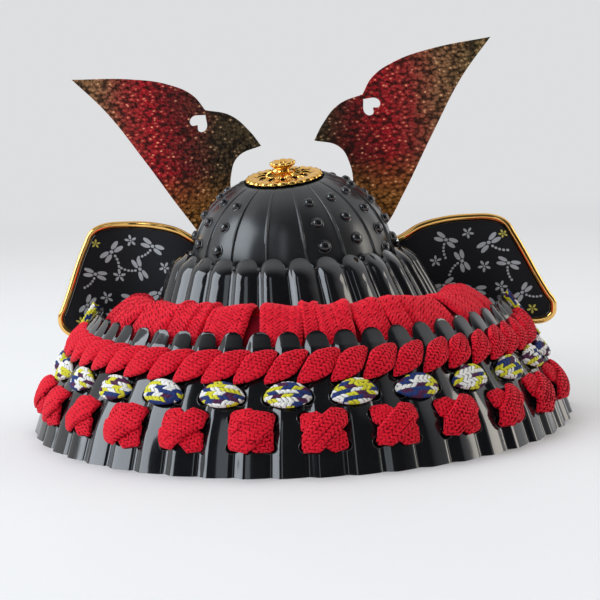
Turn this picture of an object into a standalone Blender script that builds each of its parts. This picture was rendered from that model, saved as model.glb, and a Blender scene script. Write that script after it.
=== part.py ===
"""A quarter-scale kabuto: ribbed bowl with a gilt top ornament and two gilt horns, a neck guard of two
fluted lames tied with braid, and two cloth-covered wings with gold rims.
Metres, +Z up. The front faces -Y, and the neck guard's hem rests on z = 0. The origin lies under the
middle of the whole helmet, so the neck guard's own axis stands AXIS_PLACE along Y."""

from math import atan2, cos, hypot, pi, radians, sin, tan

import bmesh
import bpy
from mathutils import Matrix, Vector

# General
GAP = 0.0003  # between pieces that touch on the real helmet
MERGE = 0.000001
OBJECT_NAME = "kabuto"

# Bowl, in the crown frame: Z is the bowl's own axis and z = 0 its widest level
BOWL_RADIUS = 0.031
BOWL_RISE = 0.0302
BOWL_SQUARENESS = 2.2
BOWL_SKIRT = 0.008
BOWL_WALL = 0.0011
BOWL_ROWS = 5
CROWN_LEVEL = 0.045
CROWN_PITCH = radians(10)
CROWN_LEAN = radians(3.5)
LEAN_PIVOT = 0.027  # the level that the crown leans about
CROWN_SHIFT = (CROWN_LEVEL - LEAN_PIVOT) * tan(CROWN_LEAN)
TOP_FLAT_RADIUS = 0.0118
TOP_HOLE_RADIUS = 0.004
TOP_HOLE_RIB = 0.1  # half the share of a panel that a rib covers at the top hole
PANELS = 16
RIB_WIDTH = 0.0011
RIB_HEIGHT = 0.0006
RIVET_SINK = 0.5  # share of the wall
RIVET_RADIUS = 0.00145
RIVET_TIP = 0.0006
RIVET_HEIGHT = 0.0011
RIVET_SIDES = 6
RIVET_SHRINK = 0.3  # the top rivet is smaller than the bottom one by this share
RIVET_LEVELS = (0.24, 0.46, 0.68, 0.86)  # shares of the way from the widest level to the flat top
BARE_PANELS = (0, 1)  # counted from the back, towards +X

# Top ornament
TEHEN_RADIUS = TOP_FLAT_RADIUS
TEHEN_THICKNESS = 0.001
TEHEN_LOBES = 16
TEHEN_LOBE_DEPTH = 0.0011
TEHEN_WINDOWS = 8
TEHEN_WINDOW_LENGTH = 0.0028
TEHEN_WINDOW_WIDTH = 0.0022
TEHEN_WINDOW_PLACE = 0.0078
TEHEN_WINDOW_WAIST = 0.3  # how far out its widest place lies, as a share of its half length
PETAL_RADIUS = 0.0058
PETAL_COUNT = 8
PETAL_DEPTH = 0.0014
PETAL_THICKNESS = 0.001
KNOB_HEIGHT = 0.0048
KNOB_RADIUS = 0.0039
KNOB_PROFILE = (
    # share of the radius, share of the height, from the rim of the cup down its outer side
    (0.0, 0.78),
    (0.72, 0.84),
    (0.88, 1.0),
    (1.0, 0.9),
    (0.98, 0.74),
    (0.62, 0.52),
    (0.6, 0.2),
    (1.0, 0.12),
    (1.0, 0.0),
    (0.0, 0.0),
)
KNOB_STEPS = 14

# Horns, in the horn frame: X across, Z up, z = 0 at the sockets' level
HORN_THICKNESS = 0.001
HORN_SPAN = 0.069
HORN_HEIGHT = 0.0685
HORN_LEVEL = CROWN_LEVEL - 0.003
HORN_RESOLUTION = 2
HORN_OUTLINE = (
    # across as a share of the half span, up as a share of the height, and corner or smooth,
    # from the stem up the inner edge, out to the tip and back down the outer edge
    (0.282, 0.245, "smooth"),
    (0.294, 0.365, "smooth"),
    (0.286, 0.47, "smooth"),
    (0.245, 0.553, "smooth"),
    (0.128, 0.596, "corner"),
    (0.175, 0.67, "smooth"),
    (0.26, 0.755, "smooth"),
    (0.377, 0.792, "corner"),
    (0.43, 0.868, "smooth"),
    (0.54, 0.93, "smooth"),
    (0.71, 0.972, "smooth"),
    (1.0, 1.0, "corner"),
    (0.852, 0.828, "smooth"),
    (0.693, 0.577, "smooth"),
    (0.528, 0.3, "smooth"),
    (0.43, 0.155, "smooth"),
)
HEART_CENTRE = (0.409, 0.737)
HEART_SIZE = 0.0052
HEART_TURN = radians(-28)
HEART_OUTLINE = (
    # across and up as shares of the heart's size
    (0.0, 0.22, "corner"),
    (0.3, 0.45, "smooth"),
    (0.55, 0.15, "smooth"),
    (0.0, -0.55, "corner"),
    (-0.55, 0.15, "smooth"),
    (-0.3, 0.45, "smooth"),
)
STEM_WIDTH = 0.0068
STEM_TURN = radians(36)
STEM_PLACE = (0.0187, 0.0043)

# Horn holder
HOLDER_THICKNESS = 0.0042
HOLDER_BAR_HEIGHT = 0.0052
HOLDER_BAR_DROP = 0.0012
HOLDER_CLEARANCE = 0.0006
RIM_FORWARD = BOWL_RADIUS * cos(CROWN_PITCH) + BOWL_SKIRT * sin(CROWN_PITCH)
HORN_FORWARD = RIM_FORWARD + HOLDER_CLEARANCE + HOLDER_THICKNESS / 2
SOCKET_LENGTH = 0.0085
SOCKET_WALL = 0.0016
SOCKET_CLEARANCE = 0.0004

# Visor, in the crown frame
VISOR_WALL = 0.001
VISOR_SPREAD = radians(62)
VISOR_REACH = 0.0105
VISOR_DROP = 0.0075
VISOR_END = 0.25  # share of the reach left at its two ends
VISOR_BEND = 1.5  # the drop grows with this power of the reach
VISOR_SQUARENESS = 4
VISOR_COLUMNS = 14
VISOR_ROWS = 2
VISOR_RADIUS = BOWL_RADIUS - BOWL_WALL + VISOR_REACH
VISOR_DEPTH = BOWL_SKIRT + GAP + VISOR_DROP
VISOR_FORWARD = VISOR_RADIUS * cos(CROWN_PITCH) + VISOR_DEPTH * sin(CROWN_PITCH)

# Neck guard
LAME_WALL = 0.001
FLUTE_DEPTH = 0.0012
FLUTE_SECTION = (0.0, 0.55, 0.9, 1.0)  # shares of the flute's depth at its four equal steps
FLUTE_STEPS = len(FLUTE_SECTION)

UPPER_FLUTES = 16
UPPER_PITCH = radians(207) / UPPER_FLUTES
UPPER_FLUTE_DEPTH = 0.0016
UPPER_TOP = 0.0514
UPPER_BOTTOM = 0.0365
UPPER_CLEARANCE = 0.0002
UPPER_TOP_RADIUS = BOWL_RADIUS + RIB_HEIGHT + UPPER_CLEARANCE
UPPER_SHIFT = (UPPER_TOP - LEAN_PIVOT) * tan(CROWN_LEAN)  # its top follows the leaning bowl
UPPER_BOTTOM_RADIUS = 0.0416
UPPER_FINGER = 0.0024
UPPER_FINGER_FLUTE = 0.4  # share of the flute's depth left at the top
UPPER_CURVE = (
    # share of the height from the bottom, share of the flare
    (0.0, 1.0),
    (0.5, 0.66),
    (0.82, 0.38),
    (1.0, 0.0),
)

LOWER_FLUTES = 27
LOWER_PITCH = radians(360 / 52)
LOWER_HEIGHT = 0.0345
LOWER_TOP_RADIUS = 0.0614
HEM_RADIUS = 0.0815
HEAD_DEPTH = 0.003
AXIS_PLACE = (VISOR_FORWARD - HEM_RADIUS - FLUTE_DEPTH) / 2
LOWER_CURVE = (
    # share of the height from the hem, share of the flare
    (0.0, 1.0),
    (0.023, 1.0),
    (0.33, 0.776),
    (0.62, 0.45),
    (1.0, 0.0),
)

# Braid
BRAID_THICKNESS = 0.0017
HEAD_FOOT = LOWER_HEIGHT - HEAD_DEPTH
LOOPS_TOP = UPPER_BOTTOM + 0.0038
LOOPS_SIDE_DROP = 0.003  # how much lower its crest runs at the two ends
LOOPS_BOTTOM = HEAD_FOOT - GAP
LOOPS_CLEARANCE = 0.0014  # from the lower lame's inner side in to the band's under side
LOOPS_BEND = 1.15
LOOPS_WAVE = 0.0007
LOOPS_TROUGH = -0.3  # share of the wave
LOOP_STEPS = 3
LOOP_ROWS = 2
LOOP_COLUMNS = LOOP_STEPS * (LOWER_FLUTES - 1)
ROPE_HEIGHT = 0.0069
ROPE_TOP = HEAD_FOOT - 0.0004
ROPE_BOTTOM = ROPE_TOP - ROPE_HEIGHT
ROPE_PUFF = 0.0014
ROPE_EDGE = 0.15  # how far round its arch the puff starts and ends, as a share of a half turn
ROPE_LEAN = 1.0  # pitches that the row leans from its bottom to its top
ROPE_STEPS = 3
ROPE_ROWS = 3
ROPE_COLUMNS = ROPE_STEPS * (LOWER_FLUTES - 1)
KNOT_LENGTH = 0.0128
KNOT_HEIGHT = 0.007
KNOT_THICKNESS = 0.0022
KNOT_SIDES = 10
KNOTS = 13
KNOT_DROP = 0.0014  # from the rope's foot down to the knot's top
KNOT_LEVEL = ROPE_BOTTOM - KNOT_DROP - KNOT_HEIGHT / 2
CROSS_DROP = 0.0081
CROSS_LEVEL = KNOT_LEVEL - CROSS_DROP
CROSS_SIZE = 0.0118
CROSS_BRAID = 0.0064
CROSS_NOTCH = 0.82  # how far out the straps' crossing lies, as a share of their half diagonal
CROSS_TIP = 0.55
CROSSES = 12
TIE_PITCH = 2 * LOWER_PITCH
TIE_STEP = 0.002  # above and below a tie, for the slope that it lies on
EDGE_BRAID_RADIUS = 0.0013
EDGE_BRAID_GAP = 0.0005
EDGE_BRAID_TOP = LOWER_HEIGHT + 0.0015
EDGE_BRAID_BOTTOM = KNOT_LEVEL + 0.0012
EDGE_BRAID_POINTS = 8
EDGE_BRAID_INSET = radians(1.6)

# Wings
WING_WALL = 0.0014
WING_LAP = 0.0014
WING_INNER = UPPER_TOP_RADIUS + WING_LAP
WING_OUTER = 0.0782
WING_BOTTOM = 0.0262
WING_TOP = 0.0588
WING_SEAT = -0.0002
WING_BACK = UPPER_BOTTOM_RADIUS * cos(UPPER_FLUTES / 2 * UPPER_PITCH) + WING_SEAT  # at the lame's ends
WING_SWEEP = -0.0045
WING_ROWS = 4
WING_OUTLINE = (
    # share of the way out, bottom and top as shares of the height
    (0.0, 0.36, 0.83),
    (0.12, 0.16, 0.93),
    (0.28, 0.02, 0.985),
    (0.46, 0.0, 1.0),
    (0.6, 0.0, 0.985),
    (0.7, 0.0, 0.9),
    (0.8, 0.0, 0.65),
    (0.9, 0.0, 0.38),
    (0.97, 0.02, 0.2),
    (1.0, 0.07, 0.13),
)
RIM_RADIUS = 0.0011
RIM_START = 0.4  # share of the way out where the bottom edge's rim ends

# Colours, roughness and metallic value of each finish
FINISHES = {
    "bowl_black": ((0.02, 0.021, 0.023), 0.38, 0.0),
    "lacquer_black": ((0.012, 0.012, 0.014), 0.12, 0.0),
    "gilt": ((0.83, 0.6, 0.25), 0.2, 1.0),
    "horn_gilt": ((0.8, 0.55, 0.24), 0.22, 1.0),
    "rim_gold": ((0.9, 0.62, 0.22), 0.15, 1.0),
    "red_braid": ((0.5, 0.01, 0.025), 0.85, 0.0),
    "mixed_braid": ((0.6, 0.6, 0.45), 0.85, 0.0),
    "wing_cloth": ((0.012, 0.013, 0.018), 0.8, 0.0),
}


def new_collection(name):
    made = bpy.data.collections.new(name)
    bpy.context.scene.collection.children.link(made)
    return made


def new_finish(name):
    colour, roughness, metallic = FINISHES[name]
    made = bpy.data.materials.new(name)
    made.use_nodes = True
    shader = made.node_tree.nodes["Principled BSDF"]
    shader.inputs["Base Color"].default_value = (*colour, 1)
    shader.inputs["Roughness"].default_value = roughness
    shader.inputs["Metallic"].default_value = metallic
    made.diffuse_color = (*colour, 1)
    return made


def new_object(name, data, finish, parent=None):
    obj = bpy.data.objects.new(name, data)
    data.materials.append(finishes[finish])
    parts.objects.link(obj)
    obj.parent = parent or root_frame
    return obj


def new_frame(name, place, turn, parent=None):
    """An empty that carries other objects."""
    frame = bpy.data.objects.new(name, None)
    parts.objects.link(frame)
    frame.location = place
    frame.rotation_euler = turn
    frame.parent = parent
    return frame


def as_cutter(obj):
    parts.objects.unlink(obj)
    cutters.objects.link(obj)
    obj.hide_render = True
    obj.display_type = "WIRE"
    return obj


def combine(obj, other, operation):
    boolean = obj.modifiers.new(operation.lower(), "BOOLEAN")
    boolean.operation = operation
    boolean.object = other


def smooth(mesh, angle=radians(30)):
    mesh.shade_smooth()
    mesh.set_sharp_from_angle(angle=angle)


def to_mesh(bm, name):
    mesh = bpy.data.meshes.new(name)
    bm.to_mesh(mesh)
    bm.free()
    return mesh


def table_value(table, share, column=1):
    """A column of a table read at a share, in straight steps between its rows."""
    rows = sorted(table)
    for low, high in zip(rows, rows[1:]):
        if share <= high[0]:
            mix = (share - low[0]) / (high[0] - low[0])
            return low[column] + (high[column] - low[column]) * max(mix, 0)
    return rows[-1][column]


def around(angle, radius, height):
    """A point round the neck guard's axis: angle 0 is the back, and it grows towards +X."""
    return Vector((radius * sin(angle), radius * cos(angle), height))


def sheet(name, columns, rows, place, wall, finish, parent=None, grow=-1, closed=False):
    """An open grid laid over place(column, row), given its wall inwards (-1) or outwards (1)."""
    bm = bmesh.new()
    bmesh.ops.create_grid(bm, x_segments=columns, y_segments=rows, size=0.5)
    for vert in bm.verts:
        vert.co = place(round((0.5 - vert.co.x) * columns), round((vert.co.y + 0.5) * rows))
    if closed:
        bmesh.ops.remove_doubles(bm, verts=bm.verts, dist=MERGE)
    mesh = to_mesh(bm, name)
    smooth(mesh)
    obj = new_object(name, mesh, finish, parent)
    solid = obj.modifiers.new("wall", "SOLIDIFY")
    solid.thickness = wall
    solid.offset = grow
    return obj


def outline_curve(name, splines, thickness, finish, parent=None, resolution=2):
    """A flat outline, each spline a list of (x, y, corner or smooth), filled and given its thickness."""
    curve = bpy.data.curves.new(name, "CURVE")
    curve.dimensions = "2D"
    curve.fill_mode = "BOTH"
    curve.extrude = thickness / 2
    curve.resolution_u = resolution
    for points in splines:
        spline = curve.splines.new("BEZIER")
        spline.bezier_points.add(len(points) - 1)
        spline.use_cyclic_u = True
        for bezier, (x, y, kind) in zip(spline.bezier_points, points):
            bezier.co = (x, y, 0)
            handle = "VECTOR" if kind == "corner" else "AUTO"
            bezier.handle_left_type = handle
            bezier.handle_right_type = handle
    return new_object(name, curve, finish, parent)


def tube(name, points, radius, finish, parent=None):
    curve = bpy.data.curves.new(name, "CURVE")
    curve.dimensions = "3D"
    curve.bevel_depth = radius
    curve.bevel_resolution = 1
    curve.use_fill_caps = True
    spline = curve.splines.new("POLY")
    spline.points.add(len(points) - 1)
    for target, point in zip(spline.points, points):
        target.co = (*point, 1)
    return new_object(name, curve, finish, parent)


def box(name, size, finish, parent=None):
    bpy.ops.mesh.primitive_cube_add(size=1)
    obj = bpy.context.object
    obj.data.transform(Matrix.Diagonal((*size, 1)))
    for collection in obj.users_collection:
        collection.objects.unlink(obj)
    obj.data.materials.append(finishes[finish])
    parts.objects.link(obj)
    obj.name = name
    obj.parent = parent
    return obj


# Bowl


def dome_radius(height):
    """The bowl's outer radius at a height above its widest level."""
    if height <= 0:
        return BOWL_RADIUS
    power = BOWL_SQUARENESS
    return BOWL_RADIUS * (1 - (height / BOWL_RISE) ** power) ** (1 / power)


def dome_height(radius):
    power = BOWL_SQUARENESS
    return BOWL_RISE * (1 - (radius / BOWL_RADIUS) ** power) ** (1 / power)


TOP_LEVEL = dome_height(TOP_FLAT_RADIUS)


def bowl_point(column, row):
    """Four columns a panel: the rib's foot, crest and foot, and the middle of the panel."""
    panel, step = divmod(column, 4)
    pitch = 2 * pi / PANELS
    rib_edge = (panel + 0.5) * pitch
    if row <= 1:
        height = -BOWL_SKIRT * (1 - row)
        radius = BOWL_RADIUS
    elif row <= BOWL_ROWS:
        last_turn = atan2(TOP_LEVEL / BOWL_RISE, TOP_FLAT_RADIUS / BOWL_RADIUS)
        height = min(BOWL_RISE * sin((row - 1) / (BOWL_ROWS - 1) * last_turn), TOP_LEVEL)
        radius = TOP_FLAT_RADIUS if row == BOWL_ROWS else dome_radius(height)
    else:
        height = TOP_LEVEL
        radius = TOP_HOLE_RADIUS
    side = RIB_WIDTH / 2 / radius
    angle = rib_edge + (-side, 0, side, pitch / 2)[step]
    if row > BOWL_ROWS:
        angle = rib_edge + (-TOP_HOLE_RIB, 0, TOP_HOLE_RIB, 0.5)[step] * pitch
    if step == 1 and row <= BOWL_ROWS:
        radius += RIB_HEIGHT
    return around(angle, radius, height)


def dome_normal(radius, height):
    """Outward slope of the bowl at a point, as (outward, upward)."""
    power = BOWL_SQUARENESS
    out = (radius / BOWL_RADIUS) ** (power - 1) / BOWL_RADIUS
    up = (height / BOWL_RISE) ** (power - 1) / BOWL_RISE
    length = hypot(out, up)
    return out / length, up / length


def rivet_places():
    """(angle, radius, height, size share) of each rivet, in a column up the middle of a panel."""
    for panel in range(PANELS):
        if panel in BARE_PANELS:
            continue
        for level in RIVET_LEVELS:
            height = TOP_LEVEL * level
            yield panel * 2 * pi / PANELS, dome_radius(height), height, 1 - RIVET_SHRINK * level


def rivets(crown):
    bm = bmesh.new()
    sunk = BOWL_WALL * RIVET_SINK
    for angle, radius, height, share in rivet_places():
        out, up = dome_normal(radius, height)
        normal = around(angle, out, up)
        turn = Vector((0, 0, 1)).rotation_difference(normal).to_matrix().to_4x4()
        middle = around(angle, radius, height) + normal * (RIVET_HEIGHT - sunk) / 2
        bmesh.ops.create_cone(
            bm,
            cap_ends=True,
            segments=RIVET_SIDES,
            radius1=RIVET_RADIUS * share,
            radius2=RIVET_TIP * share,
            depth=RIVET_HEIGHT + sunk,
            matrix=Matrix.Translation(middle) @ turn,
        )
    return as_cutter(new_object("rivets", to_mesh(bm, "rivets"), "bowl_black", crown))


def bowl(crown):
    made = sheet(
        "bowl", 4 * PANELS, BOWL_ROWS + 1, bowl_point, BOWL_WALL, "bowl_black", crown, closed=True
    )
    combine(made, rivets(crown), "UNION")


# Top ornament


def rosette(radius, depth, lobes):
    """A round outline with even lobes, three points to a lobe."""
    points = []
    for step in range(3 * lobes):
        angle = 2 * pi * step / (3 * lobes)
        reach = radius - depth * (step % 3 == 0)
        points.append((reach * sin(angle), reach * cos(angle), "corner"))
    return points


def window(angle):
    """A kite-shaped opening of the top plate, pointing outwards."""
    half_length = TEHEN_WINDOW_LENGTH / 2
    half_width = TEHEN_WINDOW_WIDTH / 2
    waist = TEHEN_WINDOW_WAIST * half_length
    corners = ((0, -half_length), (-half_width, waist), (0, half_length), (half_width, waist))
    points = []
    for across, out in corners:
        reach = TEHEN_WINDOW_PLACE + out
        points.append(
            (reach * sin(angle) + across * cos(angle), reach * cos(angle) - across * sin(angle), "corner")
        )
    return points


def tehen(crown):
    base_level = TOP_LEVEL + GAP + TEHEN_THICKNESS / 2
    windows = [window(2 * pi * (n + 0.5) / TEHEN_WINDOWS) for n in range(TEHEN_WINDOWS)]
    edge = rosette(TEHEN_RADIUS, TEHEN_LOBE_DEPTH, TEHEN_LOBES)
    base = outline_curve("tehen_base", [edge, *windows], TEHEN_THICKNESS, "gilt", crown, 1)
    base.location.z = base_level
    petal_level = base_level + TEHEN_THICKNESS / 2 + GAP + PETAL_THICKNESS / 2
    petals = outline_curve(
        "tehen_petals", [rosette(PETAL_RADIUS, PETAL_DEPTH, PETAL_COUNT)], PETAL_THICKNESS, "gilt", crown, 1
    )
    petals.location.z = petal_level
    knob_foot = petal_level + PETAL_THICKNESS / 2 + GAP
    bm = bmesh.new()
    points = [bm.verts.new((out * KNOB_RADIUS, 0, up * KNOB_HEIGHT)) for out, up in KNOB_PROFILE]
    for first, second in zip(points, points[1:]):
        bm.edges.new((first, second))
    knob = new_object("tehen_knob", to_mesh(bm, "tehen_knob"), "gilt", crown)
    knob.location.z = knob_foot
    screw = knob.modifiers.new("turn", "SCREW")
    screw.steps = KNOB_STEPS
    screw.render_steps = KNOB_STEPS
    screw.use_merge_vertices = True
    screw.merge_threshold = MERGE


# Horns


def stem_corner(side, along, across):
    """A corner of the horn's straight stem, along it from the socket's middle and across it."""
    place = socket_place(1, along)
    return side * (place.x + across * cos(STEM_TURN)), place.z - across * sin(STEM_TURN), "corner"


def horn_points(side):
    blade = [(side * across * HORN_SPAN, up * HORN_HEIGHT, kind) for across, up, kind in HORN_OUTLINE]
    foot = SOCKET_WALL + SOCKET_CLEARANCE - SOCKET_LENGTH / 2
    mouth = SOCKET_LENGTH / 2
    half = STEM_WIDTH / 2
    inner = [stem_corner(side, foot, -half), stem_corner(side, mouth, -half)]
    outer = [stem_corner(side, mouth, half), stem_corner(side, foot, half)]
    return inner + blade + outer


def heart_points(side):
    points = []
    for across, up, kind in HEART_OUTLINE:
        x = across * cos(HEART_TURN) - up * sin(HEART_TURN)
        y = across * sin(HEART_TURN) + up * cos(HEART_TURN)
        x = HEART_CENTRE[0] * HORN_SPAN + x * HEART_SIZE
        y = HEART_CENTRE[1] * HORN_HEIGHT + y * HEART_SIZE
        points.append((side * x, y, kind))
    return points


def horn(name, side, horn_frame):
    splines = [horn_points(side), heart_points(side)]
    made = outline_curve(name, splines, HORN_THICKNESS, "horn_gilt", horn_frame, HORN_RESOLUTION)
    made.rotation_euler.x = pi / 2


def socket_place(side, along=0.0):
    """The middle of a socket, moved along the stem's own line."""
    across, up = STEM_PLACE
    return Vector((side * (across + along * sin(STEM_TURN)), 0, up + along * cos(STEM_TURN)))


def horn_holder(horn_frame):
    bar_length = 2 * STEM_PLACE[0]
    made = box("horn_holder", (bar_length, HOLDER_THICKNESS, HOLDER_BAR_HEIGHT), "gilt", horn_frame)
    made.location.z = STEM_PLACE[1] - HOLDER_BAR_DROP
    socket_width = STEM_WIDTH + 2 * (SOCKET_CLEARANCE + SOCKET_WALL)
    for side in (-1, 1):
        size = (socket_width, HOLDER_THICKNESS, SOCKET_LENGTH)
        socket = as_cutter(box("socket", size, "gilt", horn_frame))
        socket.location = socket_place(side)
        socket.rotation_euler.y = side * STEM_TURN
        combine(made, socket, "UNION")
    for side in (-1, 1):
        size = (
            STEM_WIDTH + 2 * SOCKET_CLEARANCE,
            HORN_THICKNESS + 2 * SOCKET_CLEARANCE,
            2 * SOCKET_LENGTH,
        )
        slot = as_cutter(box("slot", size, "gilt", horn_frame))
        slot.location = socket_place(side, SOCKET_LENGTH / 2 + SOCKET_WALL)
        slot.rotation_euler.y = side * STEM_TURN
        combine(made, slot, "DIFFERENCE")


# Visor


def visor_point(column, row):
    """From the visor's free edge up to the bowl's rim, which it hangs under."""
    share = 2 * column / VISOR_COLUMNS - 1
    angle = pi + share * VISOR_SPREAD
    out = (1 - row / VISOR_ROWS) * max(1 - share**VISOR_SQUARENESS, VISOR_END)
    radius = VISOR_RADIUS - VISOR_REACH * (1 - out)
    return around(angle, radius, VISOR_DROP * (1 - out**VISOR_BEND) - VISOR_DEPTH)


def visor(crown):
    sheet("visor", VISOR_COLUMNS, VISOR_ROWS, visor_point, VISOR_WALL, "lacquer_black", crown)


# Neck guard


def flute(column, depth):
    """Depth of the flute at a column: a broad face that rises towards +X, then a steep flank."""
    return depth * FLUTE_SECTION[column % FLUTE_STEPS]


def head_drop(column, depth):
    """How far a flute's rounded top lies below its crown."""
    across = 2 * (column % FLUTE_STEPS) / FLUTE_STEPS - 1
    return depth * (1 - max(1 - across**2, 0) ** 0.5)


def upper_profile(height):
    share = (height - UPPER_BOTTOM) / (UPPER_TOP - UPPER_BOTTOM)
    return UPPER_TOP_RADIUS + (UPPER_BOTTOM_RADIUS - UPPER_TOP_RADIUS) * table_value(UPPER_CURVE, share)


def upper_shift(height):
    """The upper lame follows the bowl's lean, from none at its foot."""
    return Vector((UPPER_SHIFT * (height - UPPER_BOTTOM) / (UPPER_TOP - UPPER_BOTTOM), 0, 0))


def lower_profile(height):
    share = height / LOWER_HEIGHT
    return LOWER_TOP_RADIUS + (HEM_RADIUS - LOWER_TOP_RADIUS) * table_value(LOWER_CURVE, share)


def upper_point(column, row):
    angle = (column / FLUTE_STEPS - UPPER_FLUTES / 2) * UPPER_PITCH
    height = UPPER_BOTTOM + (UPPER_TOP - UPPER_BOTTOM) * UPPER_CURVE[row][0]
    shift = upper_shift(height)
    depth = flute(column, UPPER_FLUTE_DEPTH)
    if row == len(UPPER_CURVE) - 1:
        height -= head_drop(column, UPPER_FINGER)
        depth *= UPPER_FINGER_FLUTE
    return around(angle, upper_profile(height) + depth, height) + shift


def lower_point(column, row):
    angle = (column / FLUTE_STEPS - LOWER_FLUTES / 2) * LOWER_PITCH
    height = LOWER_HEIGHT * LOWER_CURVE[row][0]
    if row == len(LOWER_CURVE) - 1:
        height -= head_drop(column, HEAD_DEPTH)
    return around(angle, lower_profile(height) + flute(column, FLUTE_DEPTH), height)


def lames():
    sheet(
        "upper_lame",
        FLUTE_STEPS * UPPER_FLUTES,
        len(UPPER_CURVE) - 1,
        upper_point,
        LAME_WALL,
        "lacquer_black",
    )
    sheet(
        "lower_lame",
        FLUTE_STEPS * LOWER_FLUTES,
        len(LOWER_CURVE) - 1,
        lower_point,
        LAME_WALL,
        "lacquer_black",
    )


# Braid


def loops_point(column, row):
    """A ruffled band from behind the lower lame's heads up to the outside of the upper lame's foot."""
    angle = (column / LOOP_STEPS - (LOWER_FLUTES - 1) / 2) * LOWER_PITCH
    share = 1 - row / LOOP_ROWS
    crest = LOOPS_TOP - LOOPS_SIDE_DROP * (2 * angle / (LOWER_FLUTES * LOWER_PITCH)) ** 2
    inner = upper_profile(crest) + UPPER_FLUTE_DEPTH + GAP
    outer = lower_profile(LOOPS_BOTTOM + BRAID_THICKNESS) - LAME_WALL - LOOPS_CLEARANCE
    wave = LOOPS_WAVE * (1 if column % LOOP_STEPS == 1 else LOOPS_TROUGH) * (1 - share)
    height = crest + (LOOPS_BOTTOM - crest) * share
    shift = upper_shift(crest) * (1 - share)
    return around(angle, inner + (outer - inner) * share**LOOPS_BEND, height + wave) + shift


def rope_point(column, row):
    """A band of leaning puffs over the lower lame, one to a scale head."""
    share = row / ROPE_ROWS
    angle = (column / ROPE_STEPS - (LOWER_FLUTES - 1) / 2) * LOWER_PITCH
    height = ROPE_BOTTOM + (ROPE_TOP - ROPE_BOTTOM) * share
    phase = column / ROPE_STEPS + share * ROPE_LEAN
    puff = ROPE_PUFF * abs(sin(pi * phase)) * sin(pi * (ROPE_EDGE + (1 - 2 * ROPE_EDGE) * share))
    return around(angle, lower_profile(height) + FLUTE_DEPTH + GAP + puff, height)


def tie_frame(angle, level, lift):
    """The matrix that lays a tie's outline on the lower lame, its Y up the slope and its Z outwards."""
    low = around(angle, lower_profile(level - TIE_STEP), level - TIE_STEP)
    high = around(angle, lower_profile(level + TIE_STEP), level + TIE_STEP)
    up = (high - low).normalized()
    across = around(angle - pi / 2, 1, 0)
    out = across.cross(up)
    place = around(angle, lower_profile(level), level) + out * lift
    return Matrix.Translation(place) @ Matrix((across, up, out)).transposed().to_4x4()


def knot(name, angle):
    bm = bmesh.new()
    bmesh.ops.create_cone(bm, cap_ends=True, segments=KNOT_SIDES, radius1=0.5, radius2=0.5, depth=1)
    bmesh.ops.scale(bm, vec=(KNOT_LENGTH, KNOT_HEIGHT, KNOT_THICKNESS), verts=bm.verts)
    made = new_object(name, to_mesh(bm, name), "mixed_braid")
    made.matrix_basis = tie_frame(angle, KNOT_LEVEL, FLUTE_DEPTH + GAP + KNOT_THICKNESS / 2)


def cross_outline():
    """An X of two straps as broad as the braid, cut to a square."""
    half = CROSS_SIZE / 2
    waist = CROSS_BRAID / 2 * 2**0.5
    tip = half - waist * CROSS_TIP
    points = []
    for turn in range(4):
        angle = turn * pi / 2
        for x, y in ((waist * CROSS_NOTCH, 0.0), (half, tip), (tip, half)):
            points.append((x * cos(angle) - y * sin(angle), x * sin(angle) + y * cos(angle), "corner"))
    return points


def cross(name, angle):
    made = outline_curve(name, [cross_outline()], BRAID_THICKNESS, "red_braid", None, 1)
    made.matrix_basis = tie_frame(angle, CROSS_LEVEL, FLUTE_DEPTH + GAP + BRAID_THICKNESS / 2)


def edge_braid(name, side):
    """A round braid down the lower lame's front edge, on its outer face."""
    angle = side * (LOWER_FLUTES / 2 * LOWER_PITCH - EDGE_BRAID_INSET)
    points = []
    for step in range(EDGE_BRAID_POINTS):
        share = step / (EDGE_BRAID_POINTS - 1)
        height = EDGE_BRAID_TOP + (EDGE_BRAID_BOTTOM - EDGE_BRAID_TOP) * share
        surface = lower_profile(min(height, LOWER_HEIGHT)) + FLUTE_DEPTH
        points.append(around(angle, surface + EDGE_BRAID_GAP + EDGE_BRAID_RADIUS, height))
    tube(name, points, EDGE_BRAID_RADIUS, "mixed_braid")


def ties():
    sheet(
        "lacing_loops", LOOP_COLUMNS, LOOP_ROWS, loops_point, BRAID_THICKNESS, "red_braid", grow=1
    )
    sheet("lacing_rope", ROPE_COLUMNS, ROPE_ROWS, rope_point, BRAID_THICKNESS, "red_braid", grow=1)
    for n in range(KNOTS):
        knot(f"knot_{n + 1:02d}", (n - (KNOTS - 1) / 2) * TIE_PITCH)
    for n in range(CROSSES):
        cross(f"cross_{n + 1:02d}", (n - (CROSSES - 1) / 2) * TIE_PITCH)
    edge_braid("edge_braid_left", 1)
    edge_braid("edge_braid_right", -1)


# Wings


def wing_depth(out):
    """How far forward the wing lies, at a share of the way out."""
    return WING_BACK + WING_SWEEP * sin(pi * out) ** 2


def wing(name, side):
    def place(column, row):
        out, bottom, top = WING_OUTLINE[column if side > 0 else len(WING_OUTLINE) - 1 - column]
        share = bottom + (top - bottom) * row / WING_ROWS
        across = WING_INNER + (WING_OUTER - WING_INNER) * out
        return Vector((side * across, wing_depth(out), WING_BOTTOM + (WING_TOP - WING_BOTTOM) * share))

    sheet(name, len(WING_OUTLINE) - 1, WING_ROWS, place, WING_WALL, "wing_cloth", grow=0)


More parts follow.
